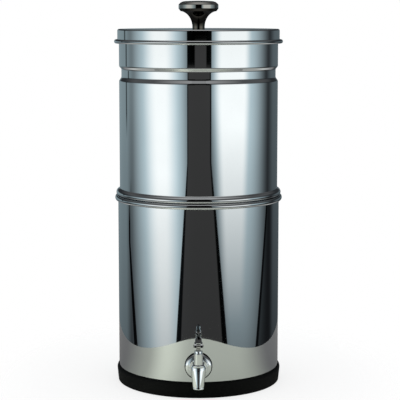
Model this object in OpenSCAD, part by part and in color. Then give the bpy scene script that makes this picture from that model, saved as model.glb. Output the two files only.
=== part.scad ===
// Gravity water filter: two stacked steel chambers, a lift-off lid with a turned knob, a pair of
// ceramic candles that hang their stems through the upper floor, and a lever tap near the foot.
// Origin: centre of the foot, on the surface that it stands on. +Z is up, and the tap faces -Y.

/* [Steel sheet] */
// Thickness of the steel sheet of the chambers and the lid
sheet_t = 0.8; // [0.6:0.1:1.2]
// Gap between parts that lift apart
lift_gap = 0.3; // [0.2:0.1:0.6]
// Gap between parts that are fastened together
seat_gap = 0.05; // [0.03:0.01:0.1]

/* [Lower chamber] */
// Outer diameter of the lower chamber
lower_od = 217; // [170:1:270]
// Height of the lower chamber, from its floor to the crown of its rolled rim
lower_h = 248.4; // [160:1:330]
// Corner radius between the wall and the floor
lower_corner_r = 6; // [3:0.5:10]
// How far the rolled rim stands out of the wall
lower_rim_out = 4.1; // [3:0.1:6]
// Height of the rolled rim
lower_rim_h = 6.8; // [5:0.1:9]

/* [Upper chamber] */
// Radial gap between the nested chambers
nest_gap = 1.5; // [1:0.1:3]
// Height of the upper chamber, from its floor to its rim
upper_h = 237.2; // [190:1:320]
// How deep the upper chamber's foot hangs below the lower chamber's rim
nest_depth = 16.6; // [12:0.2:30]
// Corner radius between the wall and the floor
upper_corner_r = 8; // [3:0.5:10]
// Section radius of the bead that carries the upper chamber
bead_r = 4.8; // [3.5:0.1:6]
// Section radius of the small bead round the upper rim
upper_rim_r = 0.95; // [0.8:0.05:1.1]
// Depth of the pressed groove under the lid
groove_depth = 3.1; // [1.5:0.1:5]
// Height of the groove's flat floor
groove_flat_h = 8.4; // [4:0.1:14]
// Height of the groove's sloped upper side
groove_upper_h = 7.4; // [4:0.1:12]
// Height of the groove's sloped lower side
groove_lower_h = 6.2; // [4:0.1:12]
// Distance from the upper rim down to the middle of the groove
groove_down = 57.6; // [45:0.1:80]

/* [Lid] */
// Radial gap between the lid's skirt and the upper chamber's wall
lid_skirt_gap = 1.25; // [1.2:0.05:2]
// Height of the lid from the underside of its lip to the edge of its top
lid_h = 19.1; // [14:0.1:30]
// How far the centre of the lid stands above its edge
lid_crown = 0.8; // [0.4:0.1:4]
// Corner radius of the lid
lid_corner_r = 2.2; // [1.2:0.1:5]
// How far the rolled lip stands out of the skirt
lid_lip_out = 4.35; // [3:0.05:6]
// Height of the rolled lip
lid_lip_h = 5.4; // [4:0.1:8]

/* [Knob] */
// Diameter of the knob's rim
knob_d = 53.2; // [36:0.2:70]
// Height of the knob above the lid
knob_h = 36.5; // [26:0.5:50]
// Diameter of the knob's neck
knob_neck_d = 17.3; // [12:0.1:24]
// Height of the knob's straight rim
knob_band_h = 5.2; // [3:0.1:8]
// Rise of the knob's rounded top above its straight rim
knob_top_h = 5.3; // [3:0.1:8]
// Height of the chamfer below the rim
knob_chamfer_h = 3.4; // [2:0.1:5]
// Thread diameter of the knob's screw
knob_screw_d = 5; // [4:0.5:8]

/* [Foot ring] */
// Height of the foot ring
ring_h = 21.5; // [16:0.5:34]
// Thickness of the shelf that carries the lower chamber
ring_shelf_t = 6; // [4.5:0.5:10]
// Width of the shelf, inwards from the chamber's wall
ring_shelf_w = 13; // [8:0.5:30]
// How far the ring's shoulder stands out of the chamber's wall
ring_out = 2.7; // [2:0.1:6]
// How far the ring's foot is drawn in from its shoulder
ring_draw = 1.7; // [0:0.1:1.8]
// Height of the ring's rounded shoulder
ring_shoulder_h = 4.6; // [2:0.1:6]

/* [Candles] */
// Distance from the axis to each candle
candle_x = 43; // [40:0.5:56]
// Outer diameter of a candle
candle_d = 50; // [36:1:56]
// Height of a candle above its mount's seat
candle_h = 172; // [110:1:180]
// Wall thickness of the ceramic
candle_wall = 8; // [5:0.5:10]
// Gap between the carbon core and the ceramic
core_gap = 4; // [2:0.5:4]
// Space between the carbon core and the level of the candle's top
core_headroom = 52; // [44:1:60]
// Wall thickness of the mount's cup
mount_wall = 2; // [1.5:0.1:3]
// Depth of the mount's cup round the candle
mount_cup_h = 9; // [5:0.5:14]
// Thickness of the mount's disc
mount_disc_t = 4; // [3:0.5:6]
// Diameter of the threaded stems through the floor
stem_d = 12; // [10:0.5:13]
// Length of a candle's stem below the mount's disc
stem_l = 32; // [26:0.5:40]
// Bore of a candle's stem
stem_bore_d = 6; // [4:0.5:7]
// Diametral clearance of the floor's holes round the stems
floor_hole_clear = 0.6; // [0.4:0.1:1.5]
// Diameter of the sealing washers
washer_d = 26; // [20:0.5:30]
// Thickness of the sealing washers
washer_t = 2.5; // [1.5:0.1:4]
// Hub diameter of the wing nuts
nut_hub_d = 20; // [17:0.5:24]
// Hub height of the wing nuts
nut_hub_h = 10; // [7:0.5:14]
// Span of the wing nuts
nut_span = 42; // [32:1:50]
// Height of the wings
nut_wing_h = 13; // [9:0.5:18]
// Thickness of the wings
nut_wing_t = 3; // [2:0.2:5]

/* [Blanking plugs] */
// Distance from the axis to each plug
plug_y = 62; // [58:0.5:74]
// Diameter of a plug's head
plug_head_d = 24; // [20:0.5:28]
// Thickness of a plug's head
plug_head_t = 4; // [3:0.5:6]
// Length of a plug's stem below its head
plug_stem_l = 20; // [16:0.5:26]
// Width across the flats of a plug's nut
plug_nut_af = 20; // [18:0.5:24]
// Thickness of a plug's nut
plug_nut_t = 7; // [5:0.5:10]

/* [Tap] */
// Height of the tap's axis above the foot ring
tap_rise = 21.5; // [21.5:0.5:38]
// Distance from the chamber's wall to the spout's axis
tap_reach = 34.5; // [30:0.5:48]
// Diameter of the tap's threaded shank
shank_d = 16; // [12:0.5:18]
// Diametral clearance of the wall's hole round the shank
shank_clear = 0.8; // [0.4:0.1:1.5]
// Length of the shank behind the wall
shank_in = 16; // [14:0.5:24]
// Bore of the shank
shank_bore_d = 9; // [6:0.5:10]
// Diameter of the escutcheon
flange_d = 34; // [28:0.5:40]
// Height of the escutcheon's dome
flange_h = 4.2; // [3:0.1:6]
// Diameter of the collar in front of the escutcheon
collar_d = 24.5; // [20:0.5:26]
// Length of the collar
collar_l = 3; // [2:0.5:6]
// Diameter of the barrel between the collar and the spout
barrel_d = 17; // [14:0.5:19]
// Thickness of the rubber washers at the middle of the wall
tap_washer_t = 2; // [1.5:0.1:3]
// Diameter of the outer rubber washer
outer_washer_d = 36; // [30:0.5:42]
// Diameter of the inner rubber washer
inner_washer_d = 27; // [24:0.5:34]
// Width across the flats of the back nut
back_nut_af = 24; // [22:0.5:28]
// Thickness of the back nut
back_nut_t = 7; // [5:0.5:9]

/* [Spout] */
// Diameter of the spout's shoulder
spout_top_d = 20.6; // [18:0.2:22]
// Diameter of the spout above its lip
spout_end_d = 15.4; // [13:0.2:18]
// Drop from the tap's axis to the spout's mouth
spout_drop = 22; // [18:0.5:26]
// Bore of the spout's mouth
spout_bore_d = 11; // [9:0.5:12]
// Bore of the valve seat
seat_bore_d = 6.4; // [5:0.2:7]
// How far the valve seat lies below the tap's axis
seat_down = 6; // [4:0.5:7]
// Thickness of the web that holds the valve seat
seat_web_t = 2.4; // [1.6:0.2:4]

/* [Bonnet and lever] */
// Diameter of the bonnet
bonnet_d = 11.4; // [11:0.1:13]
// Height of the bonnet's wide part above the spout's shoulder
bonnet_h = 17; // [12:0.5:22]
// Diameter of the bonnet's nose
nose_d = 10.4; // [9:0.1:11]
// Height of the bonnet's nose
nose_h = 3.6; // [2.5:0.1:6]
// Bore of the bonnet
bonnet_bore_d = 8.4; // [7.6:0.1:8.6]
// Diameter of the valve stem
valve_stem_d = 3.4; // [2.6:0.1:3.8]
// Width of the stem's flat eye
eye_w = 4.6; // [4:0.1:5]
// Radius of the stem's eye
eye_r = 2.8; // [2.2:0.1:3]
// Diameter of the lever's pin
pin_d = 2.4; // [1.8:0.1:2.8]
// Length of the lever's pin over its heads
pin_l = 13.2; // [12:0.2:16]
// Width of the lever's fork
fork_w = 10.4; // [9.6:0.1:11]
// Radius of the lever's cam
cam_r = 5; // [4.2:0.1:6]
// How far the cam's centre lies in front of the pin
cam_offset = 3.2; // [2:0.1:3.4]
// Height of the lever above its pin
lever_h = 12.8; // [11:0.2:40]
// Width of the lever's paddle
paddle_w = 8.6; // [7:0.1:10]
// Thickness of the lever's paddle
paddle_t = 3.2; // [2.4:0.1:5]
// Working diameter of the closing spring
spring_d = 6.6; // [6:0.1:6.8]
// Wire diameter of the closing spring
spring_wire = 0.9; // [0.6:0.1:1]
// Curls of the closing spring
spring_turns = 6; // [4:1:8]

/* [Hidden] */
$fn = 96;
wall_fn = 720;          // facets of the wall that the rubber washers are moulded to
arc_steps = 14;         // straight runs in a rounded corner
curl_steps = 24;        // straight runs in a rolled edge
thread_gap = 0.05;      // radial gap between a threaded stem and its nut
pin_gap = 0.05;         // radial running gap of the lever's pin in the stem's eye
joint_gap = 0.3;        // gap beside parts that turn or slide
washer_fit = 0.2;       // radial gap between a washer and the stem through it
over = 1;               // how far a cut runs past the face that it opens

lower_r = lower_od / 2;
lower_in_r = lower_r - sheet_t;
lower_z = ring_shelf_t;
lower_rim_z = lower_z + lower_h;
lower_rim_a = (lower_rim_out + sheet_t) / 2;
lower_rim_b = lower_rim_h / 2;
lower_rim_c = [lower_in_r + lower_rim_a, lower_rim_z - lower_rim_b];

upper_r = lower_in_r - nest_gap;
upper_in_r = upper_r - sheet_t;
upper_z = lower_rim_z - nest_depth;
upper_floor_z = upper_z + sheet_t;
upper_rim_z = upper_z + upper_h;
bead_inset = 0.1;       // the bead's centre lies this far inside the wall's face
bead_c_r = upper_r - bead_inset;
// The bead rests on the crown of the lower rim: the two sections clear each other by lift_gap.
bead_side = lower_rim_c[0] - bead_c_r;
bead_slope_z = sqrt(pow(bead_r + lower_rim_a + lift_gap, 2) - pow(bead_side, 2));
bead_z = lower_rim_z - lower_rim_a + bead_slope_z;
groove_z = upper_rim_z - groove_down;
groove_r = upper_r - groove_depth;

lid_in_r = upper_r + lid_skirt_gap;
lid_r = lid_in_r + sheet_t;
lid_under_z = upper_rim_z + lift_gap;
lid_edge_z = lid_under_z + sheet_t;
lid_top_z = lid_edge_z + lid_crown;
lid_lip_z = lid_edge_z - lid_h;
lid_lip_a = (lid_lip_out + sheet_t) / 2;
lid_lip_b = lid_lip_h / 2;
lid_lip_c = [lid_in_r + lid_lip_a, lid_lip_z + lid_lip_b];
lid_flat_w = 4;         // flat land on the lid around the knob's neck
lid_flat_r = knob_neck_d / 2 + lid_flat_w;

knob_r = knob_d / 2;
knob_neck_r = knob_neck_d / 2;
knob_rim_z = knob_h - knob_top_h - knob_band_h;
knob_flare_z = knob_rim_z - knob_chamfer_h;
knob_flare_r = knob_r - 1.2;
knob_crown_r = 0.62 * knob_r;
knob_foot_h = 1.5;
knob_thread_depth = 14;
knob_screw_grip = 10;
knob_slot_w = 1.2;
knob_washer_d = 3 * knob_screw_d;
knob_washer_t = 1.2;
knob_screw_head_d = 1.9 * knob_screw_d;
knob_screw_head_h = 0.6 * knob_screw_d;

ring_fit = 0.1;         // radial gap between the ring and the wall inside it
ring_in_r = lower_r + ring_fit;
ring_out_r = lower_r + ring_out;

mount_z = upper_floor_z + washer_t;
candle_z = mount_z + mount_disc_t;
candle_r = candle_d / 2;
candle_in_r = candle_r - candle_wall;
core_r = candle_in_r - core_gap;
core_h = candle_h - core_headroom;
core_cap_t = 10;        // solid carbon above the core's bore
cup_gap = 0.2;          // radial gap between a candle and its mount's cup
spigot_wall = 3;        // wall of the spigot that the core sits on
spigot_r = stem_bore_d / 2 + spigot_wall;
spigot_h = 3;
stem_r = stem_d / 2;
nut_bore_r = stem_r + thread_gap;
washer_bore_r = stem_r + washer_fit;
wing_r = nut_wing_h / 2 - 1;
wing_low = nut_hub_h - nut_wing_h - 0.5;

tap_z = ring_h + tap_rise;
spout_z = tap_z - spout_drop;
wall_y = -lower_r;
tap_seat_y = wall_y - tap_washer_t;
spout_y = wall_y - tap_reach;
back_washer_y = -lower_in_r + tap_washer_t;
shank_r = shank_d / 2;
spout_top_r = spout_top_d / 2;
spout_end_r = spout_end_d / 2;
spout_lip_r = spout_end_r + 0.5;
spout_lip_h = 1.8;      // height of the lip's straight edge
spout_lip_slope = 0.8;  // height over which the lip runs into the spout
spout_chamfer = 0.6;    // chamfer under the lip
escutcheon_edge_h = 1.2;
bonnet_step = 0.5;      // the bonnet's neck in the body is this much thinner each side
neck_bore_r = bonnet_d / 2 - bonnet_step;
neck_land = 1.1;        // flat land on the shoulder round the neck's bore
dome_cut_z = sqrt(pow(spout_top_r, 2) - pow(neck_bore_r + neck_land, 2));
shoulder_z = tap_z + dome_cut_z;
seat_z = tap_z - seat_down;
bonnet_neck_h = 5;
nose_z = shoulder_z + bonnet_h;
cam_rest_z = nose_z + nose_h;
pin_z = cam_rest_z + lift_gap + cam_r;
bonnet_web_t = 2.4;
spring_top_z = nose_z + nose_h - bonnet_web_t;
seat_cup_r = bonnet_bore_d / 2 - joint_gap;
seat_cup_h = 4.4;
seat_cup_lift = 0.2;    // gap that the closed cup keeps from the valve seat
seat_cup_t = 1.6;       // thickness of the cup's rubber face
stem_end_gap = 0.1;     // gap between the stem's end and the cup's face
collar_z = seat_z + seat_cup_h + seat_cup_lift;
stem_collar_t = 1.6;
spring_low_z = collar_z + stem_collar_t;
spring_seat_gap = 0.1;  // gap at each end of the spring
cheek_in = eye_w / 2 + joint_gap;
cheek_t = fork_w / 2 - cheek_in;
bridge_in = eye_r + 0.8;
bridge_t = 2;

// Points of an elliptical arc about c, from angle a0 to a1, with half axes ra and rb
function arc(c, ra, rb, a0, a1, steps = arc_steps) =
    [for (i = [0:steps]) let (a = a0 + (a1 - a0) * i / steps) [c[0] + ra * cos(a), c[1] + rb * sin(a)]];

// The list in the other direction
function reversed(list) = [for (i = [len(list) - 1:-1:0]) list[i]];

module ring_disc(d_out, r_in, h) {
    difference() {
        cylinder(d = d_out, h = h);
        translate([0, 0, -over]) cylinder(r = r_in, h = h + 2 * over);
    }
}

// Moves its children to the tap's shank, with +Z turned towards the front
module on_shank(y) {
    translate([0, y, tap_z]) rotate([90, 0, 0]) children();
}

module on_spout(z) {
    translate([0, spout_y, z]) children();
}

// ---- Chambers -------------------------------------------------------------------------------

module lower_chamber() {
    outline = concat(
        [[0, lower_z]],
        arc([lower_r - lower_corner_r, lower_z + lower_corner_r], lower_corner_r, lower_corner_r, -90, 0),
        arc(lower_rim_c, lower_rim_a - sheet_t, lower_rim_b - sheet_t, 180, -110, curl_steps),
        arc(lower_rim_c, lower_rim_a, lower_rim_b, -110, 180, curl_steps),
        arc([lower_r - lower_corner_r, lower_z + lower_corner_r],
            lower_corner_r - sheet_t, lower_corner_r - sheet_t, 0, -90),
        [[0, lower_z + sheet_t]]);
    color("silver") difference() {
        rotate_extrude() polygon(outline);
        on_shank(wall_y + shank_in) cylinder(d = shank_d + shank_clear, h = 2 * shank_in);
    }
}

// How far a corner of the groove shifts along the wall at depth d, where its side rises over h
function corner_shift(d, h) = d * tan(atan(groove_depth / h) / 2);

// Section of the upper wall, drawn as the line at depth d under its outer face
function upper_wall(d) = let (
        r = upper_r - d,
        half = acos((r - bead_c_r) / (bead_r - d)),
        low_shift = corner_shift(d, groove_lower_h),
        high_shift = corner_shift(d, groove_upper_h),
        floor_low = groove_z - groove_flat_h / 2,
        floor_high = groove_z + groove_flat_h / 2)
    concat(
        arc([upper_r - upper_corner_r, upper_z + upper_corner_r], upper_corner_r - d,
            upper_corner_r - d, -90, 0),
        arc([bead_c_r, bead_z], bead_r - d, bead_r - d, -half, half),
        [[r, floor_low - groove_lower_h - low_shift],
         [groove_r - d, floor_low - low_shift],
         [groove_r - d, floor_high + high_shift],
         [r, floor_high + groove_upper_h + high_shift],
         [r, upper_rim_z - upper_rim_r]]);

module upper_chamber() {
    rim_shift = 0.15;
    color("silver") difference() {
        rotate_extrude() union() {
            polygon(concat([[0, upper_z]], upper_wall(0), reversed(upper_wall(sheet_t)),
                [[0, upper_floor_z]]));
            translate([upper_r - sheet_t / 2 + rim_shift, upper_rim_z - upper_rim_r])
                circle(r = upper_rim_r);
        }
        for (place = floor_holes())
            translate([place[0], place[1], upper_z - over])
                cylinder(d = stem_d + floor_hole_clear, h = sheet_t + 2 * over);
    }
}

function floor_holes() = [[-candle_x, 0], [candle_x, 0], [0, -plug_y], [0, plug_y]];

module foot_ring() {
    outline = concat(
        [[lower_r - ring_shelf_w, 0], [ring_out_r - ring_draw, 0]],
        arc([ring_in_r, ring_h - ring_shoulder_h], ring_out_r - ring_in_r, ring_shoulder_h, 0, 90, 8),
        [[ring_in_r, ring_shelf_t], [lower_r - ring_shelf_w, ring_shelf_t]]);
    color("black") rotate_extrude() polygon(outline);
}

// ---- Lid and knob ---------------------------------------------------------------------------

module lid() {
    corner = [lid_r - lid_corner_r, lid_edge_z - lid_corner_r];
    outer = concat([[0, lid_top_z], [lid_flat_r, lid_top_z]],
        arc(corner, lid_corner_r, lid_corner_r, 90, 0, 8),
        arc(lid_lip_c, lid_lip_a - sheet_t, lid_lip_b - sheet_t, 180, 470, 20));
    inner = concat([[0, lid_top_z - sheet_t], [lid_flat_r, lid_top_z - sheet_t]],
        arc(corner, lid_corner_r - sheet_t, lid_corner_r - sheet_t, 90, 0, 8),
        arc(lid_lip_c, lid_lip_a, lid_lip_b, 180, 470, 20));
    color("silver") difference() {
        rotate_extrude() polygon(concat(outer, reversed(inner)));
        translate([0, 0, lid_top_z - sheet_t - over])
            cylinder(d = knob_screw_d + 2 * washer_fit, h = sheet_t + 2 * over);
    }
}

module lid_knob() {
    crown_rise = 0.6;
    outline = concat(
        [[0, 0], [knob_neck_r, 0], [knob_neck_r, knob_foot_h]],
        arc([knob_flare_r, knob_foot_h], knob_flare_r - knob_neck_r, knob_flare_z - knob_foot_h, 180, 98),
        [[knob_r, knob_rim_z], [knob_r, knob_rim_z + knob_band_h]],
        arc([knob_crown_r, knob_h - knob_top_h], knob_r - knob_crown_r, knob_top_h - crown_rise, 12, 90),
        [[0, knob_h]]);
    color("dimgray") translate([0, 0, lid_top_z]) difference() {
        rotate_extrude() polygon(outline);
        translate([0, 0, -over])
            cylinder(d = knob_screw_d + 2 * seat_gap, h = knob_thread_depth + over);
    }
}

module lid_knob_washer() {
    color("silver") translate([0, 0, lid_top_z - sheet_t - knob_washer_t])
        ring_disc(knob_washer_d, knob_screw_d / 2 + washer_fit, knob_washer_t);
}

module lid_knob_screw() {
    head_z = lid_top_z - sheet_t - knob_washer_t - knob_screw_head_h;
    slot_depth = 1;
    color("silver") difference() {
        translate([0, 0, head_z]) union() {
            cylinder(d = knob_screw_head_d, h = knob_screw_head_h);
            cylinder(d = knob_screw_d, h = lid_top_z - head_z + knob_screw_grip);
        }
        translate([-knob_screw_head_d, -knob_slot_w / 2, head_z - over])
            cube([2 * knob_screw_head_d, knob_slot_w, slot_depth + over]);
    }
}

// ---- Candles and plugs ----------------------------------------------------------------------

module candle_shell(side) {
    dome_z = candle_h - candle_r;
    outline = concat(
        [[candle_in_r, 0], [candle_r, 0]],
        arc([0, dome_z], candle_r, candle_r, 0, 90),
        arc([0, dome_z], candle_in_r, candle_in_r, 90, 0));
    color("ivory") translate([side * candle_x, 0, candle_z]) rotate_extrude() polygon(outline);
}

module candle_core(side) {
    color("black") translate([side * candle_x, 0, candle_z + spigot_h]) difference() {
        cylinder(r = core_r, h = core_h);
        translate([0, 0, -over]) cylinder(d = stem_bore_d, h = core_h - core_cap_t + over);
    }
}

module candle_mount(side) {
    cup_r = candle_r + cup_gap;
    color("whitesmoke") translate([side * candle_x, 0, mount_z]) difference() {
        union() {
            cylinder(r = cup_r + mount_wall, h = mount_disc_t + mount_cup_h);
            translate([0, 0, -stem_l]) cylinder(r = stem_r, h = stem_l + over);
        }
        translate([0, 0, mount_disc_t]) difference() {
            cylinder(r = cup_r, h = mount_cup_h + over);
            translate([0, 0, -over]) cylinder(r = spigot_r, h = spigot_h + over);
        }
        translate([0, 0, -stem_l - over])
            cylinder(d = stem_bore_d, h = stem_l + mount_disc_t + spigot_h + 2 * over);
    }
}

module floor_washer() {
    ring_disc(washer_d, washer_bore_r, washer_t);
}

module candle_washer(side) {
    color("dimgray") translate([side * candle_x, 0, upper_floor_z]) floor_washer();
}

module candle_wing_nut(side) {
    color("whitesmoke") translate([side * candle_x, 0, upper_z - nut_hub_h]) difference() {
        union() {
            cylinder(d = nut_hub_d, h = nut_hub_h);
            translate([0, nut_wing_t / 2, 0]) rotate([90, 0, 0]) linear_extrude(nut_wing_t) {
                for (way = [-1, 1])
                    translate([way * (nut_span / 2 - wing_r), wing_low + wing_r - 1.5]) circle(r = wing_r);
                translate([wing_r - nut_span / 2, wing_low])
                    square([nut_span - 2 * wing_r, nut_wing_h - 4]);
            }
        }
        translate([0, 0, -nut_wing_h]) cylinder(r = nut_bore_r, h = nut_hub_h + nut_wing_h + over);
    }
}

module at_plugs() {
    for (way = [-1, 1]) translate([0, way * plug_y, 0]) children();
}

module blanking_plugs() {
    color("whitesmoke") at_plugs() translate([0, 0, mount_z]) union() {
        cylinder(d = plug_head_d, h = plug_head_t);
        translate([0, 0, -plug_stem_l]) cylinder(r = stem_r, h = plug_stem_l + over);
    }
}

module blanking_washers() {
    color("dimgray") at_plugs() translate([0, 0, upper_floor_z]) floor_washer();
}

module blanking_nuts() {
    color("whitesmoke") at_plugs() translate([0, 0, upper_z - plug_nut_t]) difference() {
        cylinder(d = plug_nut_af / cos(30), h = plug_nut_t, $fn = 6);
        translate([0, 0, -over]) cylinder(r = nut_bore_r, h = plug_nut_t + 2 * over);
    }
}

// ---- Tap ------------------------------------------------------------------------------------

module tap_body() {
    lip_top_z = spout_z + spout_lip_h;
    cone_top_r = spout_top_r - 0.3;
    color("silver") difference() {
        union() {
            on_spout(0) rotate_extrude() polygon([[0, spout_z], [spout_lip_r - spout_chamfer, spout_z],
                [spout_lip_r, spout_z + spout_chamfer], [spout_lip_r, lip_top_z],
                [spout_end_r, lip_top_z + spout_lip_slope], [cone_top_r, tap_z], [0, tap_z]]);
            on_spout(tap_z) sphere(r = spout_top_r);
            on_shank(wall_y + shank_in) cylinder(r = shank_r, h = shank_in + tap_washer_t + over);
            on_shank(tap_seat_y) cylinder(d = collar_d, h = flange_h + collar_l);
            on_shank(tap_seat_y - flange_h) cylinder(d = barrel_d, h = tap_seat_y - flange_h - spout_y);
        }
        on_spout(shoulder_z) cylinder(r = spout_top_r, h = spout_top_r);
        on_shank(wall_y + shank_in + over) cylinder(d = shank_bore_d, h = shank_in + over + tap_reach);
        on_spout(spout_z - over) cylinder(d = spout_bore_d, h = seat_z - seat_web_t - spout_z + over);
        on_spout(spout_z) cylinder(d = seat_bore_d, h = seat_z - spout_z + over);
        on_spout(seat_z) cylinder(r = neck_bore_r, h = shoulder_z - seat_z + over);
    }
}

module tap_escutcheon() {
    hole_r = collar_d / 2 + seat_gap;
    dome_c_r = hole_r - 1;
    outline = concat(
        [[hole_r, 0], [flange_d / 2, 0]],
        arc([dome_c_r, escutcheon_edge_h], flange_d / 2 - dome_c_r, flange_h - escutcheon_edge_h, 0, 64),
        [[hole_r, flange_h]]);
    color("silver") on_shank(tap_seat_y) rotate_extrude() polygon(outline);
}

module tap_outer_washer() {
    reach_in = outer_washer_d / 4;
    color("black") difference() {
        on_shank(tap_seat_y + reach_in) ring_disc(outer_washer_d, shank_r + washer_fit, reach_in);
        cylinder(r = lower_r + seat_gap, h = tap_z + outer_washer_d, $fn = wall_fn);
    }
}

module tap_inner_washer() {
    reach_out = inner_washer_d / 4;
    color("black") intersection() {
        on_shank(back_washer_y) ring_disc(inner_washer_d, shank_r + washer_fit, reach_out);
        cylinder(r = lower_in_r - seat_gap, h = tap_z + inner_washer_d, $fn = wall_fn);
    }
}

module tap_back_nut() {
    color("silver") on_shank(back_washer_y + back_nut_t) difference() {
        cylinder(d = back_nut_af / cos(30), h = back_nut_t, $fn = 6);
        translate([0, 0, -over]) cylinder(r = shank_r + thread_gap, h = back_nut_t + 2 * over);
    }
}

module tap_bonnet() {
    color("silver") on_spout(0) difference() {
        union() {
            translate([0, 0, shoulder_z]) cylinder(d = bonnet_d, h = bonnet_h);
            translate([0, 0, shoulder_z - bonnet_neck_h])
                cylinder(r = neck_bore_r - seat_gap, h = bonnet_neck_h + over);
            translate([0, 0, nose_z - over]) cylinder(d = nose_d, h = nose_h + over);
        }
        translate([0, 0, shoulder_z - bonnet_neck_h - over])
            cylinder(d = bonnet_bore_d, h = spring_top_z - shoulder_z + bonnet_neck_h + over);
        translate([0, 0, spring_top_z - over])
            cylinder(d = valve_stem_d + 2 * joint_gap, h = bonnet_web_t + 2 * over);
    }
}

module tap_seat_cup() {
    color("white") on_spout(seat_z + seat_cup_lift) difference() {
        cylinder(r = seat_cup_r, h = seat_cup_h);
        translate([0, 0, seat_cup_t]) cylinder(d = valve_stem_d + 2 * seat_gap, h = seat_cup_h);
    }
}

module tap_valve_stem() {
    low_z = seat_z + seat_cup_lift + seat_cup_t + stem_end_gap;
    flat_z = cam_rest_z + 2 * joint_gap;
    color("silver") on_spout(0) difference() {
        union() {
            translate([0, 0, low_z]) cylinder(d = valve_stem_d, h = flat_z + over - low_z);
            translate([0, 0, collar_z]) cylinder(r = seat_cup_r, h = stem_collar_t);
            translate([-eye_w / 2, 0, pin_z]) rotate([0, 90, 0]) cylinder(r = eye_r, h = eye_w);
            translate([-eye_w / 2, -valve_stem_d / 2, flat_z])
                cube([eye_w, valve_stem_d, pin_z - over - flat_z]);
        }
        translate([-eye_w, 0, pin_z]) rotate([0, 90, 0])
            cylinder(d = pin_d + 2 * pin_gap, h = 2 * eye_w);
    }
}

// One unbroken tube wound about the valve stem
module tap_spring() {
    wire_r = spring_wire / 2;
    low = spring_low_z + wire_r + spring_seat_gap;
    rise = spring_top_z - wire_r - spring_seat_gap - low;
    rings = spring_turns * 8;
    sides = 6;
    mid_r = spring_d / 2 - wire_r;
    centre = [for (i = [0:rings]) let (a = i * 45) [mid_r * cos(a), mid_r * sin(a), low + rise * i / rings]];
    least = min([for (i = [0:rings - 8], j = [i + 6:min(i + 10, rings)]) norm(centre[i] - centre[j])]);
    echo(spring_least_gap = least - spring_wire);
    points = [for (i = [0:rings], k = [0:sides - 1]) let (a = i * 45, b = k * 360 / sides)
        centre[i] + wire_r * (cos(b) * [cos(a), sin(a), 0] + sin(b) * [0, 0, 1])];
    walls = [for (i = [0:rings - 1], k = [0:sides - 1]) let (m = (k + 1) % sides, p = i * sides)
        each [[p + k, p + m, p + sides + m], [p + k, p + sides + m, p + sides + k]]];
    first = [for (k = [1:sides - 2]) [0, k + 1, k]];
    last = [for (k = [1:sides - 2]) let (p = rings * sides) [p, p + k, p + k + 1]];
    color("silver") on_spout(0) polyhedron(points, concat(walls, first, last));
}

module tap_lever() {
    paddle_z = pin_z + bridge_in;
    boss_r = cam_r - 0.8;
    color("silver") on_spout(0) difference() {
        union() {
            for (way = [-1, 1]) translate([way * (cheek_in + cheek_t / 2), 0, pin_z]) {
                rotate([0, 90, 0]) translate([0, 0, -cheek_t / 2]) {
                    translate([0, -cam_offset, 0]) cylinder(r = cam_r, h = cheek_t);
                    cylinder(r = boss_r, h = cheek_t);
                }
                translate([-cheek_t / 2, -paddle_t / 2, 0]) cube([cheek_t, paddle_t, bridge_in + bridge_t]);
            }
            translate([-fork_w / 2, -paddle_t / 2, paddle_z]) cube([fork_w, paddle_t, bridge_t]);
            translate([0, paddle_t / 2, 0]) rotate([90, 0, 0]) linear_extrude(paddle_t) {
                translate([0, pin_z + lever_h - paddle_w / 2]) circle(d = paddle_w);
                translate([-paddle_w / 2, paddle_z + bridge_t / 2])
                    square([paddle_w, lever_h - bridge_in - bridge_t / 2 - paddle_w / 2]);
            }
        }
        translate([-fork_w, 0, pin_z]) rotate([0, 90, 0]) cylinder(d = pin_d + 2 * seat_gap, h = 2 * fork_w);
    }
}

module tap_lever_pin() {
    head_r = pin_d / 2 + 0.9;
    head_t = (pin_l - fork_w) / 2 - joint_gap;
    color("silver") on_spout(pin_z) rotate([0, 90, 0]) union() {
        translate([0, 0, -pin_l / 2]) cylinder(d = pin_d, h = pin_l);
        for (way = [-1, 1]) translate([0, 0, way * (pin_l - head_t) / 2 - head_t / 2])
            cylinder(r = head_r, h = head_t);
    }
}

lid();
lid_knob();
lid_knob_screw();
lid_knob_washer();
upper_chamber();
lower_chamber();
foot_ring();
candle_shell(-1);  // candle_shell_left
candle_core(-1);  // candle_core_left
candle_mount(-1);  // candle_mount_left
candle_washer(-1);  // candle_washer_left
candle_wing_nut(-1);  // candle_wing_nut_left
candle_shell(1);  // candle_shell_right
candle_core(1);  // candle_core_right
candle_mount(1);  // candle_mount_right
candle_washer(1);  // candle_washer_right
candle_wing_nut(1);  // candle_wing_nut_right
blanking_plugs();
blanking_washers();
blanking_nuts();
tap_body();
tap_escutcheon();
tap_outer_washer();
tap_inner_washer();
tap_back_nut();
tap_bonnet();
tap_valve_stem();
tap_seat_cup();
tap_spring();
tap_lever();
tap_lever_pin();
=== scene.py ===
"""Looks of a gravity water filter with a tap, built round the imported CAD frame.

The polished vessels, the lid, the knob and the tap are surfaces of revolution, so their outlines are
drawn here in real sizes and turned by one Geometry Nodes tree. Sizes are in millimetres and become
metres when a piece is made. +Z is up and the tap faces -Y.
"""

import logging
import math
from collections.abc import Callable
from dataclasses import dataclass
from enum import Enum

import bmesh
import bpy
from mathutils import Matrix, Vector


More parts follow.
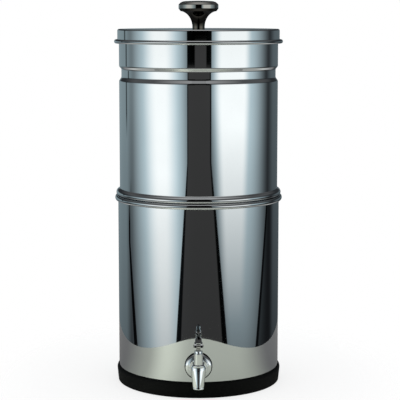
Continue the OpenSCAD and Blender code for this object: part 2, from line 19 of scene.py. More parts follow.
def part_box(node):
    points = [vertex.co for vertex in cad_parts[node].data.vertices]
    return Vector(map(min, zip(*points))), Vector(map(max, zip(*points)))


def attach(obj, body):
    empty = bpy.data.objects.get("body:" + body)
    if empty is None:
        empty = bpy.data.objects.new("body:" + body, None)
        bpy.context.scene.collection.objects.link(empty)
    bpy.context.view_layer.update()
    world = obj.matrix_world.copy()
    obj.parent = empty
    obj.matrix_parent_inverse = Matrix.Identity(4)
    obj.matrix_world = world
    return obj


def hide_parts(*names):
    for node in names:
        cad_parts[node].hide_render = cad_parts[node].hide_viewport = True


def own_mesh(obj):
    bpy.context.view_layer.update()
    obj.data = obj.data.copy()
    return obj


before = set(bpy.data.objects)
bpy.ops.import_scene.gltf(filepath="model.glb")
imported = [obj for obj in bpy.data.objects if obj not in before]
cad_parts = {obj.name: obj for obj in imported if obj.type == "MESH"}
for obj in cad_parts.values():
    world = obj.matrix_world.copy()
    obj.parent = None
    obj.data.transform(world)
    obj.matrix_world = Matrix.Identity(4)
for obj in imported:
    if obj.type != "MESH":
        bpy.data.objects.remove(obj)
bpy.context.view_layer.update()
log = logging.getLogger("water_filter")

MM = 0.001
WELD_M = 1e-7
"""Distance under which two corners of a finished mesh are one."""
CAD_WELD_M = 1e-6
"""The same for the loose triangles of a CAD mesh and for the poles of a turned one."""
OVERSHOOT = 2.0
"""How far a cutter stands past a sheet, and how far joined solids run into each other."""
THREAD_DEPTH = 0.6
"""Depth of a thread as a share of its pitch."""
Point = tuple[float, float]
Corner = tuple[float, float, float]
Value = float | int | str | tuple | bpy.types.NodeSocket


class Side(Enum):
    """Side of a sheet's drawn face on which its thickness lies, seen along the outline."""

    LEFT = 1
    RIGHT = -1


class Body(Enum):
    """The CAD bodies that finished pieces ride on."""

    LOWER = "lower_unit"
    UPPER = "upper_unit"
    LID = "lid_unit"
    LEVER = "tap_lever_unit"


class Slot(Enum):
    """The record's material slots."""

    STEEL = "polished_steel"
    KNOB = "polished_knob"
    MACHINED = "plain_steel"
    CHROME = "chrome_plate"
    BLACK_RUBBER = "black_rubber"
    GREY_RUBBER = "grey_rubber"
    CERAMIC = "ceramic"
    CARBON = "carbon"
    PLASTIC = "white_plastic"
    SILICONE = "silicone"


# ---- Node helpers ---------------------------------------------------------------------------


def linear(hex_colour: str) -> tuple[float, float, float, float]:
    """Turns an sRGB hex colour into linear values.

    Args:
        hex_colour: The colour as "#rrggbb".

    Returns:
        Linear red, green, blue and an alpha of 1.
    """
    shares = [int(hex_colour[i:i + 2], 16) / 255 for i in (1, 3, 5)]
    parts = [c / 12.92 if c <= 0.04045 else ((c + 0.055) / 1.055) ** 2.4 for c in shares]
    return (*parts, 1.0)


def add_node(tree: bpy.types.NodeTree, kind: str, settings: dict | None = None,
             **inputs: Value) -> bpy.types.Node:
    """Adds a node with its settings and its links.

    Args:
        tree: The tree that gets the node.
        kind: The node's type name.
        settings: Attributes of the node, by name.
        **inputs: Values or sockets by the input's name, with _ for a space, or i0, i1 by its place.

    Returns:
        The new node.
    """
    node = tree.nodes.new(kind)
    for name, value in (settings or {}).items():
        setattr(node, name, value)
    for name, value in inputs.items():
        by_place = name[0] == "i" and name[1:].isdigit()
        socket = node.inputs[int(name[1:]) if by_place else name.replace("_", " ")]
        if isinstance(value, bpy.types.NodeSocket):
            tree.links.new(value, socket)
        else:
            socket.default_value = value
    return node


# ---- Outlines -------------------------------------------------------------------------------


def arc(centre: Point, radii: Point, start: float, end: float, steps: int = 12) -> list[Point]:
    """Points of an elliptical arc.

    Args:
        centre: Centre of the arc.
        radii: Half axes along r and z.
        start: First angle in degrees.
        end: Last angle in degrees.
        steps: Number of straight runs.

    Returns:
        The arc's points, both ends included.
    """
    angles = [math.radians(start + (end - start) * i / steps) for i in range(steps + 1)]
    return [(centre[0] + radii[0] * math.cos(a), centre[1] + radii[1] * math.sin(a)) for a in angles]


def bar(radius: float, low: float, high: float) -> list[Point]:
    """Outline of a plain round bar on the axis."""
    return [(0, low), (radius, low), (radius, high), (0, high)]


def rounded(corners: list[Corner], steps: int = 8) -> list[Point]:
    """Rounds the corners of an outline.

    Args:
        corners: Each corner as r, z and its fillet radius; 0 leaves it sharp.
        steps: Straight runs in each fillet.

    Returns:
        The rounded outline's points.
    """
    points: list[Point] = []
    for i, (r, z, fillet) in enumerate(corners):
        if not fillet or i in (0, len(corners) - 1):
            points.append((r, z))
            continue
        corner = Vector((r, z))
        back = (Vector(corners[i - 1][:2]) - corner).normalized()
        ahead = (Vector(corners[i + 1][:2]) - corner).normalized()
        half = back.angle(ahead) / 2
        centre = corner + (back + ahead).normalized() * (fillet / math.sin(half))
        first = corner + back * (fillet / math.tan(half)) - centre
        last = corner + ahead * (fillet / math.tan(half)) - centre
        turn = first.angle_signed(last)
        for k in range(steps + 1):
            spoke = Matrix.Rotation(-turn * k / steps, 2) @ first
            points.append((centre.x + spoke.x, centre.y + spoke.y))
    return points


def held(outline: list[Point], hold: float = 0.6, long_run: float = 3.0) -> list[Point]:
    """Puts a point near both ends of each long straight run, so that smooth shading keeps it straight.

    Args:
        outline: The outline.
        hold: Distance of the added points from the run's ends.
        long_run: Length past which a run gets them.

    Returns:
        The outline with its added points.
    """
    points = outline[:1]
    for start, end in zip(map(Vector, outline), map(Vector, outline[1:])):
        run = end - start
        if run.length > long_run:
            step = run.normalized() * hold
            points += [tuple(start + step), tuple(end - step)]
        points.append(tuple(end))
    return points


def sheet_outline(face: list[Point], thickness: float, side: Side, steps: int = 6) -> list[Point]:
    """Gives a drawn face the thickness of its sheet, with a rounded free edge.

    Args:
        face: The drawn face from the axis to the sheet's free edge.
        thickness: Thickness of the sheet.
        side: Side of the face on which the thickness lies.
        steps: Straight runs round the free edge.

    Returns:
        The outline from the axis, round the free edge and back to the axis.
    """
    other: list[Point] = []
    for i, (r, z) in enumerate(face):
        before, after = face[max(i - 1, 0)], face[min(i + 1, len(face) - 1)]
        along = Vector((after[0] - before[0], after[1] - before[1])).normalized()
        normal = Vector((-along.y, along.x)) * side.value
        other.append((max(r + normal.x * thickness, 0.0), z + normal.y * thickness))
    other[0] = (face[0][0], other[0][1])
    end, twin = Vector(face[-1]), Vector(other[-1])
    middle, spoke = (end + twin) / 2, (end - twin) / 2
    edge = [Matrix.Rotation(side.value * math.pi * k / steps, 2) @ spoke for k in range(1, steps)]
    return face + [(middle.x + e.x, middle.y + e.y) for e in edge] + other[::-1]


# ---- Mesh helpers ---------------------------------------------------------------------------


def link_mesh(name: str, mesh: bpy.types.Mesh) -> bpy.types.Object:
    """Makes an object of a mesh and links it to the scene.

    Args:
        name: Name of the object.
        mesh: Its mesh.

    Returns:
        The object, at the origin.
    """
    piece = bpy.data.objects.new(name, mesh)
    bpy.context.scene.collection.objects.link(piece)
    return piece


def settle(piece: bpy.types.Object) -> bpy.types.Object:
    """Turns a piece's modifiers into a plain mesh with faces that point outwards.

    Args:
        piece: The piece with its modifiers.

    Returns:
        The same piece, without modifiers.
    """
    graph = bpy.context.evaluated_depsgraph_get()
    mesh = bpy.data.meshes.new_from_object(piece.evaluated_get(graph))
    old = piece.data
    piece.modifiers.clear()
    piece.data = mesh
    bpy.data.meshes.remove(old)
    shape = bmesh.new()
    shape.from_mesh(mesh)
    bmesh.ops.remove_doubles(shape, verts=shape.verts, dist=WELD_M)
    bmesh.ops.recalc_face_normals(shape, faces=shape.faces)
    shape.to_mesh(mesh)
    shape.free()
    mesh.name = piece.name
    return piece


def shade(piece: bpy.types.Object, crease: float = 32.0) -> bpy.types.Object:
    """Shades a piece smooth, with its sharp edges kept crisp.

    Args:
        piece: The piece.
        crease: Angle in degrees past which an edge stays crisp.

    Returns:
        The piece.
    """
    piece.data.shade_smooth()
    piece.data.set_sharp_from_angle(angle=math.radians(crease))
    return piece


def place_mesh(piece: bpy.types.Object, matrix: Matrix) -> bpy.types.Object:
    """Moves a piece's mesh, so that its object stays at the origin."""
    piece.data.transform(matrix)
    return piece


def combine(piece: bpy.types.Object, others: list[bpy.types.Object], operation: str) -> bpy.types.Object:
    """Joins or cuts solids.

    Args:
        piece: The solid that is changed.
        others: The solids that are used up.
        operation: "UNION" or "DIFFERENCE".

    Returns:
        The changed solid.
    """
    for other in others:
        modifier = piece.modifiers.new("solids", "BOOLEAN")
        modifier.operation = operation
        modifier.solver = "EXACT"
        modifier.object = other
    settle(piece)
    for other in others:
        bpy.data.objects.remove(other)
    return piece


def soften(piece: bpy.types.Object, width: float, segments: int = 3, angle: float = 40.0) -> bpy.types.Object:
    """Rounds a piece's sharp edges.

    Args:
        piece: The piece.
        width: Width of the rounding.
        segments: Faces across the rounding.
        angle: Edges that bend more than this many degrees are rounded.

    Returns:
        The piece, settled.
    """
    modifier = piece.modifiers.new("edges", "BEVEL")
    modifier.width = width
    modifier.segments = segments
    modifier.limit_method = "ANGLE"
    modifier.angle_limit = math.radians(angle)
    return settle(piece)


def mark_faces(piece: bpy.types.Object, name: str, test: Callable[[bpy.types.MeshPolygon], bool]) -> None:
    """Writes 1 on the faces that pass a test and 0 on the rest, for a finish to read.

    Args:
        piece: The piece.
        name: Name of the attribute.
        test: Says whether a face is marked.
    """
    layer = piece.data.attributes.new(name, "FLOAT", "FACE")
    for face, mark in zip(piece.data.polygons, layer.data):
        mark.value = float(test(face))


class Machine:
    """A Geometry Nodes tree with named inputs, which makes solids out of simple figures.

    Attributes:
        tree: The tree.
        sockets: The identifier of each input, by its name.
    """

    def __init__(self, name: str, inputs: dict[str, str]) -> None:
        """Starts the tree with its inputs and its one output.

        Args:
            name: Name of the tree.
            inputs: Each input's kind of socket, by its name.
        """
        self.tree = bpy.data.node_groups.new(name, "GeometryNodeTree")
        panel = self.tree.interface
        self.sockets = {key: panel.new_socket(key, in_out="INPUT", socket_type="NodeSocket" + kind).identifier
                        for key, kind in inputs.items()}
        panel.new_socket("Solid", in_out="OUTPUT", socket_type="NodeSocketGeometry")

    def end(self, solid: bpy.types.NodeSocket, finish: bpy.types.NodeSocket) -> None:
        """Ends the tree: makes instances real and gives the solid its material.

        Args:
            solid: The finished geometry.
            finish: The tree's input for the material.
        """
        real = add_node(self.tree, "GeometryNodeRealizeInstances", Geometry=solid)
        dressed = add_node(self.tree, "GeometryNodeSetMaterial", Geometry=real.outputs[0], Material=finish)
        add_node(self.tree, "NodeGroupOutput", Solid=dressed.outputs[0])

    def run(self, piece: bpy.types.Object, crease: float, **values: Value) -> bpy.types.Object:
        """Runs the tree on a piece and keeps the result as a plain mesh.

        Args:
            piece: The piece, whose mesh is the tree's first input.
            crease: Angle in degrees past which an edge stays crisp.
            **values: Values of the other inputs, by name, with _ for a space.

        Returns:
            The piece, settled and shaded.
        """
        modifier = piece.modifiers.new(self.tree.name, "NODES")
        modifier.node_group = self.tree
        for key, value in values.items():
            modifier[self.sockets[key.replace("_", " ")]] = value
        return shade(settle(piece), crease)


class Lathe(Machine):
    """Turns outlines into solids of revolution with one Geometry Nodes tree."""

    PATH_RADIUS = 1.0
    CREASE = 32.0

    def __init__(self) -> None:
        """Builds the tree: outline, swept round a circle, poles merged, shaded smooth."""
        super().__init__("turned_outline", {"Outline": "Geometry", "Segments": "Int",
                                            "Merge distance": "Float", "Finish": "Material"})
        tree = self.tree
        given = add_node(tree, "NodeGroupInput").outputs
        line = add_node(tree, "GeometryNodeMeshToCurve", Mesh=given["Outline"])
        inward = add_node(tree, "GeometryNodeSetPosition", Geometry=line.outputs[0],
                          Offset=(-self.PATH_RADIUS, 0.0, 0.0))
        circle = add_node(tree, "GeometryNodeCurvePrimitiveCircle", Resolution=given["Segments"],
                          Radius=self.PATH_RADIUS)
        swept = add_node(tree, "GeometryNodeCurveToMesh", Curve=circle.outputs[0],
                         Profile_Curve=inward.outputs[0])
        merged = add_node(tree, "GeometryNodeMergeByDistance", Geometry=swept.outputs[0],
                          Distance=given["Merge distance"])
        smooth = add_node(tree, "GeometryNodeSetShadeSmooth", Geometry=merged.outputs[0])
        self.end(smooth.outputs[0], given["Finish"])

    def turn(self, name: str, outline: list[Point], finish: bpy.types.Material, segments: int = 256,
             closed: bool = False) -> bpy.types.Object:
        """Turns an outline about the Z axis.

        Args:
            name: Name of the piece.
            outline: Points as r and z.
            finish: Material of the piece.
            segments: Number of faces round the axis.
            closed: True if the outline is a ring that doesn't touch the axis.

        Returns:
            The piece, a plain mesh at the origin.
        """
        mesh = bpy.data.meshes.new(name)
        count = len(outline)
        edges = [(i, i + 1) for i in range(count - 1)] + ([(count - 1, 0)] if closed else [])
        mesh.from_pydata([(r, -z, 0.0) for r, z in outline], edges, [])
        return self.run(link_mesh(name, mesh), self.CREASE, Segments=segments, Merge_distance=CAD_WELD_M,
                        Finish=finish)


class Helix(Machine):
    """Sweeps a round or three-sided wire along a helix with one Geometry Nodes tree."""

    STEPS = 32
    CREASE = 70.0

    def __init__(self) -> None:
        """Builds the tree: helix, and wire swept along it with closed ends."""
        super().__init__("wound_wire", {"Seed mesh": "Geometry", "Radius": "Float", "Height": "Float",
                                        "Turns": "Float", "Low": "Vector", "Wire": "Float", "Sides": "Int",
                                        "Finish": "Material"})
        tree = self.tree
        given = add_node(tree, "NodeGroupInput").outputs
        helix = add_node(tree, "GeometryNodeCurveSpiral", Resolution=self.STEPS, Rotations=given["Turns"],
                         Start_Radius=given["Radius"], End_Radius=given["Radius"], Height=given["Height"])
        raised = add_node(tree, "GeometryNodeSetPosition", Geometry=helix.outputs[0], Offset=given["Low"])
        upright = add_node(tree, "GeometryNodeSetCurveNormal", {"mode": "Z_UP"}, Curve=raised.outputs[0])
        wire = add_node(tree, "GeometryNodeCurvePrimitiveCircle", Resolution=given["Sides"],
                        Radius=given["Wire"])
        swept = add_node(tree, "GeometryNodeCurveToMesh", Curve=upright.outputs[0],
                         Profile_Curve=wire.outputs[0], Fill_Caps=True)
        self.end(swept.outputs[0], given["Finish"])

    def wind(self, name: str, radius: float, low: float, high: float, pitch: float, wire: float, sides: int,
             finish: bpy.types.Material) -> bpy.types.Object:
        """Winds a wire about the Z axis.

        Args:
            name: Name of the piece.
            radius: Radius of the helix.
            low: Height of its first point.
            high: Height of its last point.
            pitch: Rise of a turn.
            wire: Radius of the wire.
            sides: Sides of the wire.
            finish: Material of the piece.

        Returns:
            The piece, a plain mesh at the origin.
        """
        return self.run(link_mesh(name, bpy.data.meshes.new(name)), self.CREASE, Radius=radius,
                        Height=high - low, Turns=(high - low) / pitch, Low=(0.0, 0.0, low), Wire=wire,
                        Sides=sides, Finish=finish)


# ---- Finishes -------------------------------------------------------------------------------


def new_material(name: str) -> bpy.types.Material:
    """Makes a material whose node tree is empty.

    Args:
        name: Name of the material.

    Returns:
        The material.
    """
    material = bpy.data.materials.new(name)
    material.use_nodes = True
    material.node_tree.nodes.clear()
    return material


class Grain(Enum):
    """How a metal's polishing marks run."""

    RINGS = "round the vessel's axis"
    EVEN = "alike in every direction"


@dataclass(frozen=True)
class Metal:
    """A metal surface with its polishing marks and the haze of handling.

    Attributes:
        name: Name of the material.
        hex_colour: Colour of the reflection.
        roughness: Lowest and highest roughness.
        grain: How the marks run.
        mark_mm: Width of a polishing mark.
        depth_mm: Depth of a polishing mark.

    HAZE_MM is the width of a patch of haze, TARNISH the share of the reflection that is left in one, and
    MARKED the range of marks times haze that the roughness spreads over. A face marked "inside" is satin,
    and a face marked for the knob's neck takes a dark colour: painted shade for the dark room it reflects.
    """

    name: str
    hex_colour: str
    roughness: tuple[float, float]
    grain: Grain
    mark_mm: float
    depth_mm: float

    MARK_DETAIL = 3.0
    HAZE_DETAIL = 4.0
    HAZE_MM = 35.0
    TARNISH = 0.94
    MARKED = (0.12, 0.4)
    INSIDE_ROUGHNESS = 0.3
    # Dark colour painted on the knob's neck as shade, for the dark room that the neck reflects.
    PAINTED_SHADE_HEX = "#514E48"

    def make(self) -> bpy.types.Material:
        """Builds the node material.

        Returns:
            The material.
        """
        material = new_material(self.name)
        tree = material.node_tree
        place = add_node(tree, "ShaderNodeTexCoord").outputs["Object"]
        way = place
        if self.grain is Grain.RINGS:
            parts = add_node(tree, "ShaderNodeSeparateXYZ", Vector=place)
            flat = add_node(tree, "ShaderNodeCombineXYZ", X=parts.outputs["X"], Y=parts.outputs["Y"])
            radius = add_node(tree, "ShaderNodeVectorMath", {"operation": "LENGTH"}, i0=flat.outputs[0])
            way = add_node(tree, "ShaderNodeCombineXYZ", X=radius.outputs["Value"],
                           Z=parts.outputs["Z"]).outputs[0]
        marks = add_node(tree, "ShaderNodeTexNoise", Vector=way, Scale=1 / (self.mark_mm * MM),
                         Detail=self.MARK_DETAIL)
        haze = add_node(tree, "ShaderNodeTexNoise", Vector=place, Scale=1 / (self.HAZE_MM * MM),
                        Detail=self.HAZE_DETAIL)
        both = add_node(tree, "ShaderNodeMath", {"operation": "MULTIPLY"}, i0=marks.outputs["Fac"],
                        i1=haze.outputs["Fac"])
        rough = add_node(tree, "ShaderNodeMapRange", Value=both.outputs[0], From_Min=self.MARKED[0],
                         From_Max=self.MARKED[1], To_Min=self.roughness[0], To_Max=self.roughness[1])
        inside = add_node(tree, "ShaderNodeAttribute", {"attribute_name": "inside"}).outputs["Fac"]
        rough = add_node(tree, "ShaderNodeMapRange", Value=inside, To_Min=rough.outputs[0],
                         To_Max=self.INSIDE_ROUGHNESS)
        bright = linear(self.hex_colour)
        dull = (*(self.TARNISH * c for c in bright[:3]), 1.0)
        tone = add_node(tree, "ShaderNodeMix", {"data_type": "RGBA"}, Factor=haze.outputs["Fac"],
                        i6=bright, i7=dull)
        # Painted shade: the marked faces take a dark colour in place of the metal's, for the dark room that
        # the knob's neck reflects.
        black = add_node(tree, "ShaderNodeAttribute", {"attribute_name": "painted_shade"}).outputs["Fac"]
        tone = add_node(tree, "ShaderNodeMix", {"data_type": "RGBA"}, Factor=black, i6=tone.outputs[2],
                        i7=linear(self.PAINTED_SHADE_HEX))
        bump = add_node(tree, "ShaderNodeBump", Height=marks.outputs["Fac"], Distance=self.depth_mm * MM,
                        Strength=1.0)
        shader = add_node(tree, "ShaderNodeBsdfPrincipled", Base_Color=tone.outputs[2], Metallic=1.0,
                          Roughness=rough.outputs[0], Normal=bump.outputs[0])
        add_node(tree, "ShaderNodeOutputMaterial", Surface=shader.outputs[0])
        return material


@dataclass(frozen=True)
class Moulded:
    """A rubber, plastic, ceramic or pressed surface with its grain.

    Attributes:
        name: Name of the material.
        hex_colours: The two colours that its mottling runs between.
        roughness: Lowest and highest roughness.
        grain_mm: Width of a grain or pore.
        depth_mm: Depth of a grain or pore.
        mottle_mm: Width of a patch of the mottling.
        ior: Index of refraction.
        glow: Share of the light that scatters under the surface.
        glow_mm: How far that light travels.
        clear: Share of the light that passes through.
        gloss: Strength of the surface's mirror layer, 0.5 for a clean one.

    GRAIN_SHARE says how much of the grain is added to the mottling, MOTTLED over which range of the sum
    the colours run, and PORES over which range of the grain the roughness does.
    """

    name: str
    hex_colours: tuple[str, str]
    roughness: tuple[float, float]
    grain_mm: float
    depth_mm: float
    mottle_mm: float = 12.0
    ior: float = 1.5
    glow: float = 0.0
    glow_mm: float = 1.0
    clear: float = 0.0
    gloss: float = 0.5

    GRAIN_DETAIL = 5.0
    GRAIN_ROUGHNESS = 0.6
    MOTTLE_DETAIL = 4.0
    GRAIN_SHARE = 0.5
    MOTTLED = (0.5, 1.0)
    PORES = (0.3, 0.7)

    def make(self) -> bpy.types.Material:
        """Builds the node material.

        Returns:
            The material.
        """
        material = new_material(self.name)
        tree = material.node_tree
        place = add_node(tree, "ShaderNodeTexCoord").outputs["Object"]
        grain = add_node(tree, "ShaderNodeTexNoise", Vector=place, Scale=1 / (self.grain_mm * MM),
                         Detail=self.GRAIN_DETAIL, Roughness=self.GRAIN_ROUGHNESS)
        mottle = add_node(tree, "ShaderNodeTexNoise", Vector=place, Scale=1 / (self.mottle_mm * MM),
                          Detail=self.MOTTLE_DETAIL)
        blend = add_node(tree, "ShaderNodeMath", {"operation": "MULTIPLY_ADD"}, i0=grain.outputs["Fac"],
                         i1=self.GRAIN_SHARE, i2=mottle.outputs["Fac"])
        share = add_node(tree, "ShaderNodeMapRange", Value=blend.outputs[0], From_Min=self.MOTTLED[0],
                         From_Max=self.MOTTLED[1])
        tone = add_node(tree, "ShaderNodeMix", {"data_type": "RGBA"}, Factor=share.outputs[0],
                        i6=linear(self.hex_colours[0]), i7=linear(self.hex_colours[1]))
        rough = add_node(tree, "ShaderNodeMapRange", Value=grain.outputs["Fac"], From_Min=self.PORES[0],
                         From_Max=self.PORES[1], To_Min=self.roughness[0], To_Max=self.roughness[1])
        bump = add_node(tree, "ShaderNodeBump", Height=grain.outputs["Fac"], Distance=self.depth_mm * MM,
                        Strength=1.0)
        shader = add_node(tree, "ShaderNodeBsdfPrincipled", Base_Color=tone.outputs[2],
                          Roughness=rough.outputs[0], IOR=self.ior, Normal=bump.outputs[0],
                          Subsurface_Weight=self.glow, Subsurface_Scale=self.glow_mm * MM,
                          Transmission_Weight=self.clear, Specular_IOR_Level=self.gloss)
        add_node(tree, "ShaderNodeOutputMaterial", Surface=shader.outputs[0])
        return material


FINISHES: dict[Slot, Metal | Moulded] = {
    # Stainless sheet, spun and buffed to a mirror: a clear, slightly cool reflection with faint rings
    # from the mop. The real rings are a tenth of this width, and are drawn as wide as they can show.
    Slot.STEEL: Metal("mirror_buffed_stainless_sheet", "#CDCFD0", (0.012, 0.035), Grain.RINGS, 1.4, 0.0004),
    # Turned bar with a dark chrome plate: a deep, slightly brown mirror, with painted shade that makes the
    # neck nearly black.
    Slot.KNOB: Metal("dark_chromed_turned_knob", "#999792", (0.03, 0.06), Grain.RINGS, 0.9, 0.0004),
    # Stainless bar and sheet as it leaves the lathe: satin, with tool marks.
    Slot.MACHINED: Metal("turned_stainless_steel", "#C6C5C1", (0.2, 0.3), Grain.EVEN, 0.35, 0.0012),
    # Cast brass with nickel and chrome plate: bright and cool, with a trace of the casting's ripple.
    Slot.CHROME: Metal("chrome_plated_brass", "#D9DBDC", (0.015, 0.04), Grain.EVEN, 6.0, 0.004),
    # Moulded nitrile rubber: matt black with the tool's spark-eroded grain, which holds the gloss down.
    Slot.BLACK_RUBBER: Moulded("moulded_black_rubber", ("#030303", "#060607"), (0.55, 0.72), 0.8, 0.03,
                               ior=1.52, gloss=0.1),
    # Pressed sealing rubber: soft grey with a bloom of talc.
    Slot.GREY_RUBBER: Moulded("pressed_grey_sealing_rubber", ("#4C4C4E", "#5E5E60"), (0.6, 0.8), 0.7, 0.03,
                              ior=1.52),
    # Fired, unglazed ceramic: chalky off-white with open pores and faint clay clouds.
    Slot.CERAMIC: Moulded("unglazed_bisque_ceramic", ("#EFE9DD", "#E2D9C8"), (0.8, 0.95), 0.9, 0.06, 18.0),
    # Pressed and sintered carbon: dull black crumbs.
    Slot.CARBON: Moulded("sintered_carbon_block", ("#1D1C1B", "#2B2A28"), (0.75, 0.95), 1.1, 0.12),
    # Injection-moulded polypropylene: waxy white that lets light a little way in.
    Slot.PLASTIC: Moulded("moulded_white_polypropylene", ("#ECECE9", "#E4E4E0"), (0.3, 0.42), 0.6, 0.008,
                          25.0, ior=1.49, glow=0.15, glow_mm=1.5),
    # Cast silicone: milky and half clear.
    Slot.SILICONE: Moulded("cast_milky_silicone", ("#EDEDEA", "#E2E2DE"), (0.35, 0.5), 0.7, 0.01, 10.0,
                           ior=1.41, glow=0.3, glow_mm=2.0, clear=0.25),
}


class Workshop:
    """Makes pieces, gives them their finish and fastens them to their body.

    Attributes:
        lathe: The machine that turns outlines.
        thread: The machine that winds threads and springs.
        finishes: A material for each slot.

    COPY_CREASE and FLAT are angles in degrees: edges of a copied CAD mesh past the first stay crisp, and
    triangles that meet under the second become one face.
    """

    COPY_CREASE = 30.0
    FLAT = 0.5
    RIDGE_SIDES = 3

    def __init__(self) -> None:
        """Builds the two machines and every material."""
        self.lathe = Lathe()
        self.thread = Helix()
        self.finishes = {slot: finish.make() for slot, finish in FINISHES.items()}

    def turned(self, name: str, outline: list[Point], slot: Slot, segments: int = 192,
               closed: bool = False) -> bpy.types.Object:
        """Turns an outline in millimetres into a piece in a slot's finish.

        Args:
            name: Name of the piece.
            outline: Points as r and z, in millimetres.
            slot: Slot of the finish.
            segments: Number of faces round the axis.
            closed: True if the outline is a ring that doesn't touch the axis.

        Returns:
            The piece.
        """
        scaled = [(r * MM, z * MM) for r, z in held(outline)]
        return self.lathe.turn(name, scaled, self.finishes[slot], segments, closed)

    def threaded(self, name: str, radius: float, low: float, high: float, pitch: float,
                 slot: Slot) -> bpy.types.Object:
        """Winds a thread's ridge about the Z axis.

        Args:
            name: Name of the piece.
            radius: Radius of the thread's crest, in millimetres.
            low: Height of its first turn, in millimetres.
            high: Height of its last turn, in millimetres.
            pitch: Rise of a turn, in millimetres.
            slot: Slot of the finish.

        Returns:
            The ridge, to be joined with its stem.
        """
        size = THREAD_DEPTH / 2 * pitch
        return self.thread.wind(name, (radius - size) * MM, low * MM, high * MM, pitch * MM, size * MM,
                                self.RIDGE_SIDES, self.finishes[slot])

    def copied(self, node: str, name: str, slot: Slot, edge_mm: float) -> bpy.types.Object:
        """Copies a CAD node's mesh and rounds its edges.

        Args:
            node: The CAD node.
            name: Name of the piece.
            slot: Slot of the finish.
            edge_mm: Width of the rounding.

        Returns:
            The piece.
        """
        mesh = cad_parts[node].data.copy()
        mesh.name = name
        shape = bmesh.new()
        shape.from_mesh(mesh)
        bmesh.ops.remove_doubles(shape, verts=shape.verts, dist=CAD_WELD_M)
        bmesh.ops.dissolve_limit(shape, angle_limit=math.radians(self.FLAT), verts=shape.verts,
                                 edges=shape.edges)
        shape.to_mesh(mesh)
        shape.free()
        mesh.materials.clear()
        mesh.materials.append(self.finishes[slot])
        if "custom_normal" in mesh.attributes:
            mesh.attributes.remove(mesh.attributes["custom_normal"])
        return shade(soften(link_mesh(name, mesh), edge_mm * MM), self.COPY_CREASE)

    def fasten(self, piece: bpy.types.Object, body: Body, slot: Slot, *nodes: str) -> None:
        """Makes a piece ride on a body and stand for CAD nodes, which are hidden.

        Args:
            piece: The finished piece.
            body: The body that it rides on.
            slot: The slot of its finish; not used.
            *nodes: The CAD nodes that it replaces.
        """
        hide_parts(*nodes)
        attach(piece, body.value)
        log.info("%s: %d faces on %s", piece.name, len(piece.data.polygons), body.value)

    def dress(self, node: str, slot: Slot) -> None:
        """Gives a CAD node that is shown the finish of its slot.

        Args:
            node: The CAD node.
            slot: The slot.
        """
        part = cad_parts[node]
        for place in part.material_slots:
            place.material = self.finishes[slot]
        log.info("%s keeps its CAD shape, in %s", node, slot.value)


def mark_inside(piece: bpy.types.Object, inner_r: float, floor: float, up: int) -> None:
    """Marks the faces that look into a vessel or a lid, whose finish is satin.

    Args:
        piece: The vessel or the lid.
        inner_r: Inner radius of its wall, in millimetres.
        floor: Height of its floor or top, in millimetres.
        up: 1 for a vessel that opens upwards, -1 for a lid.
    """
    near, inward, level = 12.0, 0.3, 0.5

    def looks_in(face: bpy.types.MeshPolygon) -> bool:
        """Says whether a face looks into the vessel or the lid.

        Args:
            face: The face.

        Returns:
            True on the wall's inner side, and on the inner side of the floor or top.
        """
        radius = face.center.xy.length
        wall = face.normal.xy.dot(face.center.xy) < -inward * radius
        end = abs(face.center.z / MM - floor) < near and radius / MM < inner_r
        return wall or (end and face.normal.z * up > level)

    mark_faces(piece, "inside", looks_in)


def span(node: str) -> tuple[Vector, Vector]:
    """Lowest and highest corner of a CAD node, in millimetres."""
    low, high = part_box(node)
    return Vector(low) / MM, Vector(high) / MM


def join(piece: bpy.types.Object, *others: bpy.types.Object) -> bpy.types.Object:
    """Puts other pieces' meshes into one piece.

    Args:
        piece: The piece that is kept.
        *others: The pieces that are used up.

    Returns:
        The piece.
    """
    shape = bmesh.new()
    for part in (piece, *others):
        shape.from_mesh(part.data)
    shape.to_mesh(piece.data)
    shape.free()
    for part in others:
        bpy.data.objects.remove(part)
    return shade(piece)


# ---- Vessels --------------------------------------------------------------------------------


